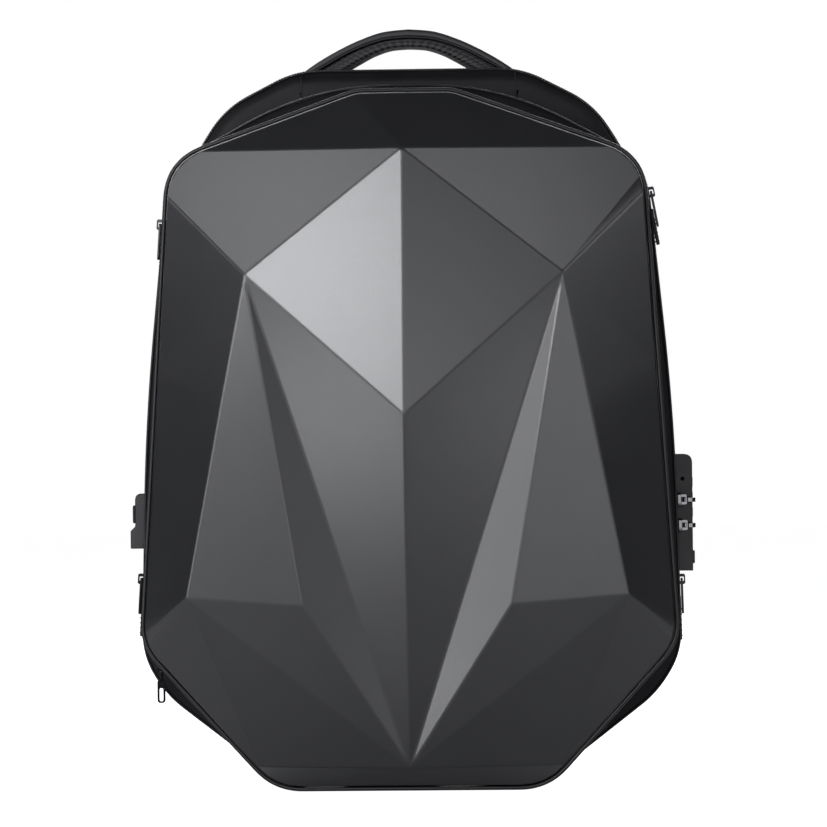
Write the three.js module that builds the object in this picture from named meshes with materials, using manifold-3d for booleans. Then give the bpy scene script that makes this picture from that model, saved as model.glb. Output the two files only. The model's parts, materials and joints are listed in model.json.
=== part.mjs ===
// Hard shell backpack: a faceted front shell on a soft body of three depths, in millimetres.
// X runs across the bag, +Y from the shell to the back panel and the straps, +Z up.
// The origin is the middle of the flat base, where it stands on the floor.
import * as THREE from "three";
import { mergeVertices } from "three/addons/utils/BufferGeometryUtils.js";
import Module from "manifold-3d";

const wasm = await Module();
wasm.setup();

// Clearance between pieces that touch, and the walls
const gap = 0.3;
const fabricWall = 2;
const shellWall = 2.4;

// Front shell: its outline at the rim, and how far its highest point stands forward
const shellWidth = 348;
const shellHeight = 453.5;
const shellLift = 4.2;
const shellRelief = 58;
const shellSkirt = 4;

// Sewn cord round the rim and round the main body's front seam
const pipingRadius = 1.4;
const pipingReach = 1;
const gussetEase = 0.7;

// Soft body, in three depths behind the shell
const gussetDepth = 27.4;
const mainDepth = 50;
const mainWidth = 357;
const mainHeight = 466.2;
const rearDepth = 42;
const rearWidth = 354;
const rearHeight = 479.8;
const seamRound = 5;
const flangeDepth = 8;

// Back panel and its pads
const panelThick = 4;
const panelMargin = 4;
const padThick = 11;
const padWidth = 102;
const padHeight = 250;
const padFoot = 172;
const padChannel = 22;
const lumbarWidth = 214;
const lumbarHeight = 76;
const lumbarFoot = 72;
const padRound = 24;
const padCrown = 4;

// Carry handle
const handleSpan = 144.6;
const handleRise = 29.2;
const handleCoverThick = 5.2;
const handleCoverFoot = 13;
const handlePadThick = 7.4;
const handlePadFoot = 17;
const handleDepth = 26;
const handlePadInset = 2;

// Shoulder straps, lower webbing and its ladder lock buckles
const strapWidth = 64;
const strapThick = 11;
const strapRise = 26;
const strapTop = 452;
const strapFoot = 128;
const strapSpread = 98;
const webbingWidth = 25;
const webbingThick = 1.8;
const webbingFoot = 46;
const webbingSpread = 129;
const buckleWidth = 37;
const buckleHeight = 22;
const buckleThick = 4;
const buckleBar = 4;
const buckleDrop = 1.6;

// Zips
const tapeWidth = 8;
const tapeThick = 1.2;
const frontZipPlace = 15.5;
const mainZipPlace = 16;
const rearZipPlace = 4;
const pocketZipLength = 48;

// Sliders and their hanging pulls
const sliderLength = 9;
const sliderWidth = 7;
const sliderThick = 2.2;
const crownLength = 7;
const crownWidth = 2.4;
const crownWire = 0.9;
const crownHole = 3;
const pullThick = 1.4;
const pullWidth = 8;
const pullWindow = 4.2;
const pullLength = 24;
const tailThick = 2.2;
const tailWidth = 6;
const tailStart = 11;
const pocketPullLength = 22;
const pocketPullWidth = 5.4;

// Combination lock on the right side
const lockFoot = 141;
const lockHeight = 78;
const lockDepth = 24;
const lockThick = 10.4;
const lockCorner = 6;
const lockSetback = 8;
const dialCount = 3;
const dialPitch = 10;
const dialRadius = 5.2;
const dialWidth = 7;
const dialProud = 0.6;
const firstDial = 200;
const slotHeights = [188.6, 171.6];
const slotHeight = 3.6;
const slotReach = 7;
const slotFloor = 6;
const slotCover = 2;
const linkSpare = 0.4;
const linkRise = 1.6;
const cutOverrun = 1;
const buttonHeight = 9;
const buttonWidth = 10;
const buttonProud = 1.5;
const buttonTravel = 1.2;
const buttonPlace = 150;
const buttonDepth = 6;

// Charging socket housing on the left side
const socketFoot = 159;
const socketHeight = 37;
const socketStep = 15;
const socketDepth = 20;
const socketThick = 8.2;
const socketStepThick = 3.2;
const socketCapHeight = 12;
const socketCapThick = 1.6;
const socketCapMargin = 3;
const socketCapRound = 2;

// Depth of each layer, worked out from the rim's front edge
const stackDepth = shellSkirt + gussetDepth + mainDepth + rearDepth + panelThick + 4 * gap;
const rimY = -stackDepth / 2;
const gussetY = rimY + shellSkirt + gap;
const mainY = gussetY + gussetDepth + gap;
const rearY = mainY + mainDepth + gap;
const panelY = rearY + rearDepth + gap;
const padY = panelY + panelThick + gap;
const padBackY = padY + padThick;

// Corners of half an outline, from the top middle down to the base: how far across as a share of
// the half width, how far up as a share of the height, and the length of the rounding on each
// side of the corner as a share of the half width.
const cornerSteps = 4;
const rimCorners = [
  { corner: "crown", across: 0.181, up: 1.0, round: 0.03 },
  { corner: "slope", across: 0.575, up: 0.9458, round: 0.06 },
  { corner: "shoulder", across: 0.885, up: 0.903, round: 0.132 },
  { corner: "side", across: 0.947, up: 0.527, round: 0.2 },
  { corner: "hip", across: 1.0, up: 0.2073, round: 0.083 },
  { corner: "chamfer", across: 0.755, up: 0.1038, round: 0.06 },
  { corner: "foot", across: 0.51, up: 0, round: 0.099 },
];
const mainCorners = [
  { corner: "crown", across: 0.347, up: 0.999, round: 0.291 },
  { corner: "slope", across: 0.717, up: 0.9215, round: 0.03 },
  { corner: "shoulder", across: 0.885, up: 0.8863, round: 0.14 },
  { corner: "side", across: 0.98, up: 0.5217, round: 0.35 },
  { corner: "hip", across: 1.0, up: 0.1888, round: 0.09 },
  { corner: "chamfer", across: 0.905, up: 0.132, round: 0.07 },
  { corner: "foot", across: 0.46, up: 0, round: 0.07 },
];
const rearCorners = [
  { corner: "crown", across: 0.429, up: 1.0, round: 0.09 },
  { corner: "slope", across: 0.7006, up: 0.9487, round: 0.1 },
  { corner: "shoulder", across: 0.864, up: 0.855, round: 0.17 },
  { corner: "side", across: 0.977, up: 0.507, round: 0.3 },
  { corner: "hip", across: 1.0, up: 0.1838, round: 0.08 },
  { corner: "chamfer", across: 0.9, up: 0.128, round: 0.08 },
  { corner: "foot", across: 0.462, up: 0, round: 0.07 },
];

// Ridge points of the shell on its right half: shares of the half width, of the height and of
// the relief. Those with no width lie on the middle line.
const shellPeaks = {
  apex: { across: 0, up: 0.9155, out: 0.793 },
  brow: { across: 0.592, up: 0.7378, out: 0.69 },
  heart: { across: 0, up: 0.5365, out: 1 },
  cheek: { across: 0.8247, up: 0.277, out: 0.586 },
  fold: { across: 0.388, up: 0.2646, out: 0.621 },
  chin: { across: 0, up: 0.0284, out: 0.276 },
};

// Route of a shoulder strap: shares of its height, spread, rise off the pads, width and thickness
const strapStations = [
  { up: 1.0, across: 0.52, rise: 0, width: 0.86, thick: 0.7 },
  { up: 0.945, across: 0.54, rise: 0.38, width: 0.92, thick: 0.9 },
  { up: 0.83, across: 0.62, rise: 0.72, width: 0.98, thick: 1 },
  { up: 0.66, across: 0.78, rise: 0.95, width: 1, thick: 1 },
  { up: 0.45, across: 0.93, rise: 1, width: 1, thick: 1 },
  { up: 0.24, across: 1, rise: 0.86, width: 0.86, thick: 0.95 },
  { up: 0.08, across: 1, rise: 0.6, width: 0.68, thick: 0.8 },
  { up: 0.0, across: 0.99, rise: 0.47, width: 0.52, thick: 0.55 },
];

// Route of the lower webbing from its buckle to the back panel's corner
const webbingStations = [
  { along: 0, rise: 1 },
  { along: 0.2, rise: 0.94 },
  { along: 0.55, rise: 0.62 },
  { along: 0.85, rise: 0.2 },
  { along: 1, rise: 0 },
];

// Hanging pulls: the side and zip of each, its height as a share of that layer's height, and how
// far its tail reaches below the crown as a share of the pull's length
const hangingPulls = [
  { name: "left_upper", side: -1, zip: "front", up: 0.8155, drop: 1.33 },
  { name: "right_upper", side: 1, zip: "front", up: 0.853, drop: 1.46 },
  { name: "left_lower", side: -1, zip: "front", up: 0.2994, drop: 1.58 },
  { name: "right_lower", side: 1, zip: "rear", up: 0.2793, drop: 1.71 },
];

// Half an outline's corners become points on short curves, mirrored to the left half.
function outlineOf(corners, width, foot, height) {
  const half = width / 2;
  const at = corners.map((row) => new THREE.Vector2(row.across * half, foot + row.up * height));
  const start = new THREE.Vector2(0, at[0].y);
  const end = new THREE.Vector2(0, foot);
  const right = [];
  at.forEach((corner, i) => {
    const before = i === 0 ? start : at[i - 1];
    const after = i === at.length - 1 ? end : at[i + 1];
    const reach = corners[i].round * half;
    const from = corner.clone().add(before.clone().sub(corner).setLength(reach));
    const to = corner.clone().add(after.clone().sub(corner).setLength(reach));
    right.push(...new THREE.QuadraticBezierCurve(from, corner, to).getPoints(cornerSteps));
  });
  return right.concat(mirrored(right));
}

function mirrored(points) {
  return points.map((p) => new THREE.Vector2(-p.x, p.y)).reverse();
}

// Moves each point of a closed outline inwards by a distance, or outwards if it is negative.
function inset(points, distance) {
  return points.map((p, i) => {
    const before = points[(i + points.length - 1) % points.length];
    const after = points[(i + 1) % points.length];
    const a = p.clone().sub(before).normalize();
    const b = after.clone().sub(p).normalize();
    const across = new THREE.Vector2(a.y + b.y, -a.x - b.x).normalize();
    const stretch = Math.max(0.5, Math.sqrt((1 + a.dot(b)) / 2));
    return p.clone().add(across.multiplyScalar(distance / stretch));
  });
}

// Index of a step on a corner of the right half.
function cornerIndex(corners, name, step) {
  return corners.findIndex((row) => row.corner === name) * (cornerSteps + 1) + step;
}

// A closed body from vertices and triangles, turned to face outwards.
function bodyOf(vertices, triangles) {
  const positions = [];
  let volume = 0;
  for (const [i, j, k] of triangles) {
    volume += vertices[i].dot(vertices[j].clone().cross(vertices[k]));
  }
  for (const [i, j, k] of triangles) {
    for (const index of volume < 0 ? [i, k, j] : [i, j, k]) {
      positions.push(...vertices[index].toArray());
    }
  }
  const geometry = new THREE.BufferGeometry();
  geometry.setAttribute("position", new THREE.Float32BufferAttribute(positions, 3));
  geometry.computeVertexNormals();
  return geometry;
}

// Triangles over a flat end: the section's points are read in the plane they are given in.
function capTriangles(flat, offset, turned) {
  return THREE.ShapeUtils.triangulateShape(flat, []).map(([a, b, c]) =>
    turned ? [offset + a, offset + c, offset + b] : [offset + a, offset + b, offset + c],
  );
}

// Skin over rings with as many points each. Without closing, both ends get a cap; `flats` holds
// the two end rings as plane points.
function skinOf(rings, closing, flats) {
  const count = rings[0].length;
  const vertices = rings.flat();
  const triangles = [];
  const spans = closing ? rings.length : rings.length - 1;
  for (let r = 0; r < spans; r += 1) {
    const here = r * count;
    const next = ((r + 1) % rings.length) * count;
    for (let i = 0; i < count; i += 1) {
      const j = (i + 1) % count;
      triangles.push([here + i, here + j, next + i], [here + j, next + j, next + i]);
    }
  }
  if (!closing) {
    const [first, last] = flats;
    const clockwise = THREE.ShapeUtils.isClockWise(first);
    triangles.push(...capTriangles(first, 0, !clockwise));
    triangles.push(...capTriangles(last, (rings.length - 1) * count, clockwise));
    if (facesInward(rings, triangles.slice(-1)[0], vertices)) {
      const caps = triangles.splice(spans * count * 2);
      caps.forEach(([a, b, c]) => triangles.push([a, c, b]));
    }
  }
  return bodyOf(vertices, triangles);
}

// Whether the last cap's triangles run the same way round as the side faces beside them.
function facesInward(rings, cap, vertices) {
  const count = rings[0].length;
  const last = (rings.length - 1) * count;
  const normal = new THREE.Triangle(...cap.map((i) => vertices[i])).getNormal(new THREE.Vector3());
  const before = centreOf(rings[rings.length - 2]);
  const outward = centreOf(rings[rings.length - 1]).sub(before);
  const side = new THREE.Triangle(vertices[last - count], vertices[last - count + 1], vertices[last]);
  const sideNormal = side.getNormal(new THREE.Vector3());
  const away = vertices[last - count].clone().sub(before);
  return Math.sign(normal.dot(outward)) !== Math.sign(sideNormal.dot(away));
}

function centreOf(points) {
  return points.reduce((sum, p) => sum.add(p), new THREE.Vector3()).divideScalar(points.length);
}

// Plane outline points raised to a depth.
function atDepth(points, y) {
  return points.map((p) => new THREE.Vector3(p.x, y, p.y));
}

// Ring wall: sections from front to back, each with its inner wall.
function ringWall(sections) {
  const outer = sections.map((s) => atDepth(s.points, s.y));
  const inner = sections.map((s) => atDepth(inset(s.points, s.wall), s.y + s.step)).reverse();
  return skinOf(outer.concat(inner), true);
}

// A prism between two depths with its edges drawn in.
function plate(points, y, thick, round) {
  const soft = inset(points, round);
  const rings = [atDepth(soft, y), atDepth(points, y + round / 2)];
  rings.push(atDepth(points, y + thick - round / 2), atDepth(soft, y + thick));
  return skinOf(rings, false, [soft, soft]);
}

// A cord sewn along an outline: its centre lies a distance outside it.
function cordRing(points, outside, y, radius) {
  const sides = 6;
  const rings = [];
  for (let i = 0; i < sides; i += 1) {
    const angle = (2 * Math.PI * i) / sides;
    rings.push(atDepth(inset(points, -outside - radius * Math.cos(angle)), y + radius * Math.sin(angle)));
  }
  return skinOf(rings, true);
}

// A flat tape on an outline, over the top of the bag from one corner to its mirror image.
function tape(points, corners, name, step, y) {
  const last = cornerIndex(corners, name, step);
  const under = inset(points, -gap);
  const over = inset(points, -gap - tapeThick);
  const run = (line) => mirrored(line.slice(0, last + 1)).concat(line.slice(0, last + 1));
  return tapeBody(run(under), run(over), y);
}

function tapeBody(under, over, y) {
  const rings = under.map((p, i) => [
    new THREE.Vector3(p.x, y, p.y),
    new THREE.Vector3(over[i].x, y, over[i].y),
    new THREE.Vector3(over[i].x, y + tapeWidth, over[i].y),
    new THREE.Vector3(p.x, y + tapeWidth, p.y),
  ]);
  const square = [[0, 0], [1, 0], [1, 1], [0, 1]].map(([u, v]) => new THREE.Vector2(u, v));
  return skinOf(rings, false, [square, square]);
}

// Corners of a rounded rectangle, counter-clockwise.
function roundedBox(width, height, round, steps) {
  const points = [];
  for (let quarter = 0; quarter < 4; quarter += 1) {
    const sideX = quarter === 0 || quarter === 3 ? 1 : -1;
    const sideY = quarter < 2 ? 1 : -1;
    for (let i = 0; i <= steps; i += 1) {
      const angle = (Math.PI / 2) * (quarter + i / steps);
      const x = sideX * (width / 2 - round) + round * Math.cos(angle);
      points.push(new THREE.Vector2(x, sideY * (height / 2 - round) + round * Math.sin(angle)));
    }
  }
  return points;
}

// A soft band along a route: each station has a place, a width and a thickness.
function bandOf(stations) {
  const rings = stations.map((station, i) => {
    const before = stations[Math.max(0, i - 1)].place;
    const after = stations[Math.min(stations.length - 1, i + 1)].place;
    const along = after.clone().sub(before).normalize();
    const across = along.clone().cross(new THREE.Vector3(0, 1, 0)).normalize();
    const out = across.clone().cross(along).normalize();
    const round = Math.min(station.width, station.thick) * 0.45;
    return roundedBox(station.width, station.thick, round, 2).map((p) =>
      station.place.clone().addScaledVector(across, p.x).addScaledVector(out, p.y),
    );
  });
  const flat = roundedBox(2, 1, 0.45, 2);
  return skinOf(rings, false, [flat, flat]);
}

function shapeOf(points) {
  return new THREE.Shape(points);
}

function extrude(shape, depth) {
  const geometry = new THREE.ExtrudeGeometry(shape, { depth, bevelEnabled: false, curveSegments: 8 });
  return geometry.translate(0, 0, -depth / 2);
}

// Booleans on closed meshes
function manifoldOf(geometry) {
  const bare = geometry.index ? geometry.toNonIndexed() : geometry.clone();
  bare.deleteAttribute("normal");
  bare.deleteAttribute("uv");
  const merged = mergeVertices(bare, 1e-4);
  const mesh = new wasm.Mesh({
    numProp: 3,
    vertProperties: merged.attributes.position.array,
    triVerts: new Uint32Array(merged.index.array),
  });
  return new wasm.Manifold(mesh);
}

function geometryOf(manifold) {
  const mesh = manifold.getMesh();
  const geometry = new THREE.BufferGeometry();
  geometry.setAttribute("position", new THREE.BufferAttribute(mesh.vertProperties, 3));
  geometry.setIndex(new THREE.BufferAttribute(mesh.triVerts, 1));
  const loose = geometry.toNonIndexed();
  loose.computeVertexNormals();
  return loose;
}

function joined(geometries) {
  return geometryOf(geometries.map(manifoldOf).reduce((all, one) => all.add(one)));
}

function cutBy(geometry, tools) {
  return geometryOf(tools.map(manifoldOf).reduce((left, tool) => left.subtract(tool), manifoldOf(geometry)));
}

// Materials, by the finish seen
const finishes = {
  shell: { color: 0x3d3e42, roughness: 0.5, metalness: 0 },
  fabric: { color: 0x17181b, roughness: 0.85, metalness: 0 },
  piping: { color: 0x222327, roughness: 0.55, metalness: 0 },
  mesh: { color: 0x101114, roughness: 0.95, metalness: 0 },
  leather: { color: 0x1c1d20, roughness: 0.6, metalness: 0 },
  webbing: { color: 0x141518, roughness: 0.9, metalness: 0 },
  metal: { color: 0x8c8f95, roughness: 0.25, metalness: 1 },
  plastic: { color: 0x202125, roughness: 0.45, metalness: 0 },
  dial: { color: 0x2c2d31, roughness: 0.4, metalness: 0 },
  rubber: { color: 0x17181a, roughness: 0.8, metalness: 0 },
};

const backpack = new THREE.Group();

function add(name, geometry, finish, parent = backpack) {
  const mesh = new THREE.Mesh(geometry, new THREE.MeshStandardMaterial(finishes[finish]));
  mesh.name = name;
  parent.add(mesh);
  return mesh;
}

// Outlines that the layers share
const rimOutline = outlineOf(rimCorners, shellWidth, shellLift, shellHeight);
const gussetOutline = inset(rimOutline, -gussetEase);
const mainOutline = outlineOf(mainCorners, mainWidth, 0, mainHeight);
const rearOutline = outlineOf(rearCorners, rearWidth, 0, rearHeight);

// Front shell: facets between ridge points and the rim, a skirt, and the same facets inside.
function shellPeak(name, side, inner) {
  const peak = shellPeaks[name];
  const deep = inner ? shellWall * 1.2 : 0;
  const drawn = inner ? 1 - (2 * shellWall) / shellWidth : 1;
  const x = side * peak.across * drawn * (shellWidth / 2);
  return new THREE.Vector3(x, rimY - peak.out * shellRelief + deep, shellLift + peak.up * shellHeight);
}

function shellFace(rim, inner) {
  const rimCount = rim.length;
  const vertices = [...rim];
  const triangles = [];
  const middle = {};
  for (const name of ["apex", "heart", "chin"]) {
    middle[name] = vertices.push(shellPeak(name, 1, inner)) - 1;
  }
  for (const side of [1, -1]) {
    const rimAt = (name, step) => {
      const index = cornerIndex(rimCorners, name, step);
      return side > 0 ? index : rimCount - 1 - index;
    };
    const face = (a, b, c) => triangles.push(side > 0 ? [a, b, c] : [a, c, b]);
    const fan = (hub, first, last) => {
      const stride = Math.sign(last - first);
      for (let i = first; i !== last; i += stride) face(hub, i, i + stride);
    };
    const brow = shellPeak("brow", side, inner);
    const cheek = shellPeak("cheek", side, inner);
    const fold = vertices.push(shellPeak("fold", side, inner)) - 1;
    const top = rimAt("crown", 2);
    const corner = rimAt("shoulder", 0);
    const under = rimAt("shoulder", cornerSteps);
    const hip = rimAt("hip", 1);
    const foot = rimAt("foot", 0);
    const flank = Math.abs(hip - under);
    const ridge = [];
    for (let i = 0; i <= flank; i += 1) {
      const along = rim[under + Math.sign(hip - under) * i];
      const share = (rim[under].z - along.z) / (rim[under].z - rim[hip].z);
      ridge.push(vertices.push(brow.clone().lerp(cheek, share)) - 1);
    }
    const browAt = ridge[0];
    const cheekAt = ridge[flank];
    fan(middle.apex, rimAt("crown", 0), top);
    fan(middle.apex, top, corner);
    face(middle.apex, corner, browAt);
    fan(browAt, corner, under);
    for (let i = 0; i < flank; i += 1) {
      const here = under + Math.sign(hip - under) * i;
      const next = under + Math.sign(hip - under) * (i + 1);
      face(ridge[i], here, next);
      face(ridge[i], next, ridge[i + 1]);
      face(fold, ridge[i], ridge[i + 1]);
    }
    fan(cheekAt, hip, foot);
    face(cheekAt, foot, middle.chin);
    fan(middle.chin, foot, rimAt("foot", cornerSteps));
    face(middle.apex, browAt, middle.heart);
    face(middle.heart, browAt, middle.chin);
    face(browAt, fold, middle.chin);
    face(fold, cheekAt, middle.chin);
  }
  triangles.push([middle.apex, rimCount - 1, 0]);
  triangles.push([middle.chin, rimCount / 2 - 1, rimCount / 2]);
  return { vertices, triangles };
}

function frontShell() {
  const backY = rimY + shellSkirt;
  const innerOutline = inset(rimOutline, shellWall);
  const front = shellFace(atDepth(rimOutline, rimY), false);
  const hollow = shellFace(atDepth(innerOutline, rimY + shellWall / 2), true);
  const vertices = [...front.vertices];
  const triangles = [...front.triangles];
  const count = rimOutline.length;
  const backOuter = vertices.length;
  vertices.push(...atDepth(rimOutline, backY));
  const backInner = vertices.length;
  vertices.push(...atDepth(innerOutline, backY));
  const inner = vertices.length;
  vertices.push(...hollow.vertices);
  const band = (from, to) => {
    for (let i = 0; i < count; i += 1) {
      const j = (i + 1) % count;
      triangles.push([from + i, to + i, from + j], [from + j, to + i, to + j]);
    }
  };
  band(0, backOuter);
  band(backOuter, backInner);
  band(backInner, inner);
  hollow.triangles.forEach(([a, b, c]) => triangles.push([inner + a, inner + c, inner + b]));
  return bodyOf(vertices, triangles);
}
add("front_shell", frontShell(), "shell");

// Sewn cord round the rim, in the seam between the shell and the front gusset
const pipingOut = pipingReach + pipingRadius;
add("rim_piping", cordRing(rimOutline, pipingOut, rimY + shellSkirt + gap, pipingRadius), "piping");

// Front gusset: a band of cloth as wide as the shell
const gussetEnds = [gussetY, gussetY + gussetDepth];
const gussetSections = gussetEnds.map((y) => ({ y, points: gussetOutline, wall: fabricWall, step: 0 }));
add("front_gusset", ringWall(gussetSections), "fabric");

// Main body: its front seam steps out from the gusset, and its back edge draws in
const mainSections = [
  { y: mainY, points: gussetOutline, wall: fabricWall, step: 0 },
  { y: mainY + flangeDepth / 2, points: inset(mainOutline, seamRound * 0.4), wall: fabricWall, step: 1 },
  { y: mainY + flangeDepth, points: mainOutline, wall: fabricWall, step: 1 },
  { y: mainY + mainDepth - flangeDepth, points: mainOutline, wall: fabricWall, step: 0 },
  { y: mainY + mainDepth, points: inset(mainOutline, seamRound), wall: fabricWall, step: 0 },
];
add("main_body", ringWall(mainSections), "fabric");

// Rear body: a tray whose front wall divides it from the main body
function rearBody() {
  const drawn = inset(rearOutline, seamRound);
  const thin = inset(rearOutline, fabricWall);
  const back = rearY + rearDepth;
  const rings = [
    atDepth(drawn, rearY),
    atDepth(rearOutline, rearY + seamRound),
    atDepth(rearOutline, back - seamRound),
    atDepth(drawn, back),
    atDepth(inset(drawn, fabricWall), back),
    atDepth(thin, back - seamRound),
    atDepth(thin, rearY + seamRound),
    atDepth(inset(drawn, fabricWall), rearY + fabricWall),
  ];
  return skinOf(rings, false, [drawn, inset(drawn, fabricWall)]);
}
add("rear_body", rearBody(), "fabric");

// Back panel and its three air mesh pads
const panelOutline = inset(rearOutline, panelMargin);
add("back_panel", plate(panelOutline, panelY, panelThick, 1), "fabric");

function pad(width, height, foot, across) {
  const flat = roundedBox(width, height, padRound, 3);
  const placed = flat.map((p) => new THREE.Vector2(p.x + across, p.y + foot + height / 2));
  const top = roundedBox(width - 2 * padCrown, height - 2 * padCrown, padRound - padCrown, 3);
  const topPlaced = top.map((p) => new THREE.Vector2(p.x + across, p.y + foot + height / 2));
  const rings = [atDepth(placed, padY), atDepth(placed, padY + padThick * 0.55), atDepth(topPlaced, padBackY)];
  return skinOf(rings, false, [placed, topPlaced]);
}
const padAcross = (padChannel + padWidth) / 2;
add("back_pad_right", pad(padWidth, padHeight, padFoot, padAcross), "mesh");
add("back_pad_left", pad(padWidth, padHeight, padFoot, -padAcross), "mesh");
add("lumbar_pad", pad(lumbarWidth, lumbarHeight, lumbarFoot, 0), "mesh");

// Carry handle: a leather arch over a mesh pad, with both ends on the bag's top
const handleFoot = rearHeight + gap;
const handleY = rearY + rearZipPlace + tapeWidth + gap + handleDepth / 2;
const archSteps = 14;
const archPower = 2 / 1.8;

function arch(halfSpan, rise) {
  const points = [];
  for (let i = 0; i <= archSteps; i += 1) {
    const angle = (Math.PI * i) / archSteps;
    const reach = Math.abs(Math.cos(angle)) ** archPower * Math.sign(Math.cos(angle));
    points.push(new THREE.Vector2(halfSpan * reach, handleFoot + rise * Math.sin(angle) ** archPower));
  }
  return points;
}

function archBand(halfSpan, rise, thick, foot, depth) {
  const over = arch(halfSpan, rise);
  const under = arch(halfSpan - foot, rise - thick).reverse();
  const round = thick * 0.25;
  const rings = [];
  for (const [y, drawn] of [[-depth / 2, 1], [-depth / 2 + round, 0], [depth / 2 - round, 0], [depth / 2, 1]]) {
    const shift = drawn * round;
    const outer = arch(halfSpan - shift, rise - shift);
    const inner = arch(halfSpan - foot + shift, rise - thick + shift).reverse();
    rings.push(atDepth(outer.concat(inner), handleY + y));
  }
  const flat = over.concat(under);
  return skinOf(rings, false, [flat, flat]);
}
const handleHalf = handleSpan / 2;
const coverDepth = handleDepth;
const handlePadDepth = handleDepth - 2 * handlePadInset;
add("handle_cover", archBand(handleHalf, handleRise, handleCoverThick, handleCoverFoot, coverDepth), "leather");
const padHalf = handleHalf - handleCoverFoot - gap;
const padRise = handleRise - handleCoverThick - gap;
add("handle_pad", archBand(padHalf, padRise, handlePadThick, handlePadFoot, handlePadDepth), "mesh");

// Zip tapes over the top, and a short one on the lower left chamfer
const frontZipY = gussetY + frontZipPlace - tapeWidth / 2;
const mainZipY = mainY + mainZipPlace - tapeWidth / 2;
const rearZipY = rearY + rearZipPlace;
add("front_zip", tape(gussetOutline, rimCorners, "hip", 0, frontZipY), "webbing");
add("main_zip", tape(mainOutline, mainCorners, "hip", 1, mainZipY), "webbing");
add("rear_zip", tape(rearOutline, rearCorners, "hip", 1, rearZipY), "webbing");

// The left chamfer's straight line, from its hip end towards the foot
const chamferTop = gussetOutline[cornerIndex(rimCorners, "hip", cornerSteps)].clone();
const chamferFoot = gussetOutline[cornerIndex(rimCorners, "foot", 0)].clone();
const chamferRun = chamferFoot.clone().sub(chamferTop).normalize();
const chamferOut = new THREE.Vector2(-chamferRun.y, chamferRun.x);

function chamferPoint(along, out) {
  const p = chamferTop.clone().addScaledVector(chamferRun, along).addScaledVector(chamferOut, out);
  return new THREE.Vector2(-p.x, p.y);
}
const pocketUnder = [chamferPoint(0, gap), chamferPoint(pocketZipLength, gap)];
const pocketOver = [chamferPoint(0, gap + tapeThick), chamferPoint(pocketZipLength, gap + tapeThick)];
add("pocket_zip", tapeBody(pocketUnder, pocketOver, frontZipY), "webbing");

// Zip slider with its crown, in a frame with X outwards, Y across the zip and Z along it;
// the origin is the middle of the crown's hole.
const crownCentre = sliderThick + crownHole / 2;

function slider() {
  const outline = roundedBox(sliderWidth, sliderLength, 1.6, 2);
  const base = extrude(shapeOf(outline), sliderThick);
  base.rotateX(Math.PI / 2).rotateZ(Math.PI / 2);
  base.translate(-crownCentre + sliderThick / 2, 0, 0);
  const root = sliderThick / 2;
  const crown = extrude(shapeOf(roundedBox(crownHole + crownWire + root, crownLength, 0.8, 1)), crownWidth);
  crown.rotateX(Math.PI / 2).translate((crownWire - root) / 2, 0, 0);
  const hole = extrude(shapeOf(roundedBox(crownHole, crownHole, 0.4, 1)), crownWidth * 2);
  return cutBy(joined([base, crown]), [hole.rotateX(Math.PI / 2)]);
}

// Hanging pull: a plate with a window for the crown, whose top bar lies in the crown's hole.
function pull(length) {
  const outer = roundedBox(pullWidth, length, 1.6, 2);
  const plateBody = extrude(shapeOf(outer), pullThick);
  plateBody.rotateX(Math.PI / 2).rotateZ(Math.PI / 2);
  plateBody.translate(0, 0, pullThick / 2 - length / 2);
  const window = extrude(shapeOf(roundedBox(pullWindow, pullWindow, 0.3, 1)), pullThick * 3);
  window.rotateX(Math.PI / 2).rotateZ(Math.PI / 2);
  window.translate(0, 0, -pullThick / 2 - pullWindow / 2);
  return cutBy(plateBody, [window]);
}

// Ribbed tail behind the plate, hanging below it
function tail(length) {
  const body = extrude(shapeOf(roundedBox(tailWidth, length, 1.2, 2)), tailThick);
  body.rotateX(Math.PI / 2).rotateZ(Math.PI / 2);
  return body.translate(-pullThick / 2 - gap - tailThick / 2, 0, -tailStart - length / 2);
}

// Where an outline stands at a height, on the right side: its distance and its lean.
function edgeAt(points, height) {
  for (let i = 0; i < points.length / 2; i += 1) {
    const [a, b] = [points[i], points[i + 1]];
    if (a.y >= height && b.y <= height && a.y > b.y) {
      const share = (a.y - height) / (a.y - b.y);
      return { x: a.x + share * (b.x - a.x), lean: Math.atan2(b.x - a.x, a.y - b.y) };
    }
  }
  return { x: points[0].x, lean: 0 };
}

// Frame on a side wall, standing on a zip tape: side is 1 on the right and -1 on the left.
function onSide(outline, height, y, side) {
  const edge = edgeAt(outline, height);
  const turn = new THREE.Group();
  turn.rotation.z = side > 0 ? 0 : Math.PI;
  const lean = new THREE.Group();
  const stand = gap + tapeThick + gap + crownCentre;
  lean.position.set(edge.x + stand * Math.cos(edge.lean), side * y, height + stand * Math.sin(edge.lean));
  lean.rotation.y = -edge.lean;
  turn.add(lean);
  backpack.add(turn);
  return lean;
}

const frontZipMiddle = frontZipY + tapeWidth / 2;
const mainZipMiddle = mainZipY + tapeWidth / 2;
const rearZipMiddle = rearZipY + tapeWidth / 2;
for (const row of hangingPulls) {
  const front = row.zip === "front";
  const [foot, tall] = front ? [shellLift, shellHeight] : [0, rearHeight];
  const [outline, y] = front ? [gussetOutline, frontZipMiddle] : [rearOutline, rearZipMiddle];
  const place = onSide(outline, foot + row.up * tall, y, row.side);
  add(row.name + "_slider", slider(), "metal", place);
  add(row.name + "_pull", pull(pullLength), "metal", place);
  add(row.name + "_tail", tail(row.drop * pullLength - tailStart), "rubber", place);
}

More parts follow.
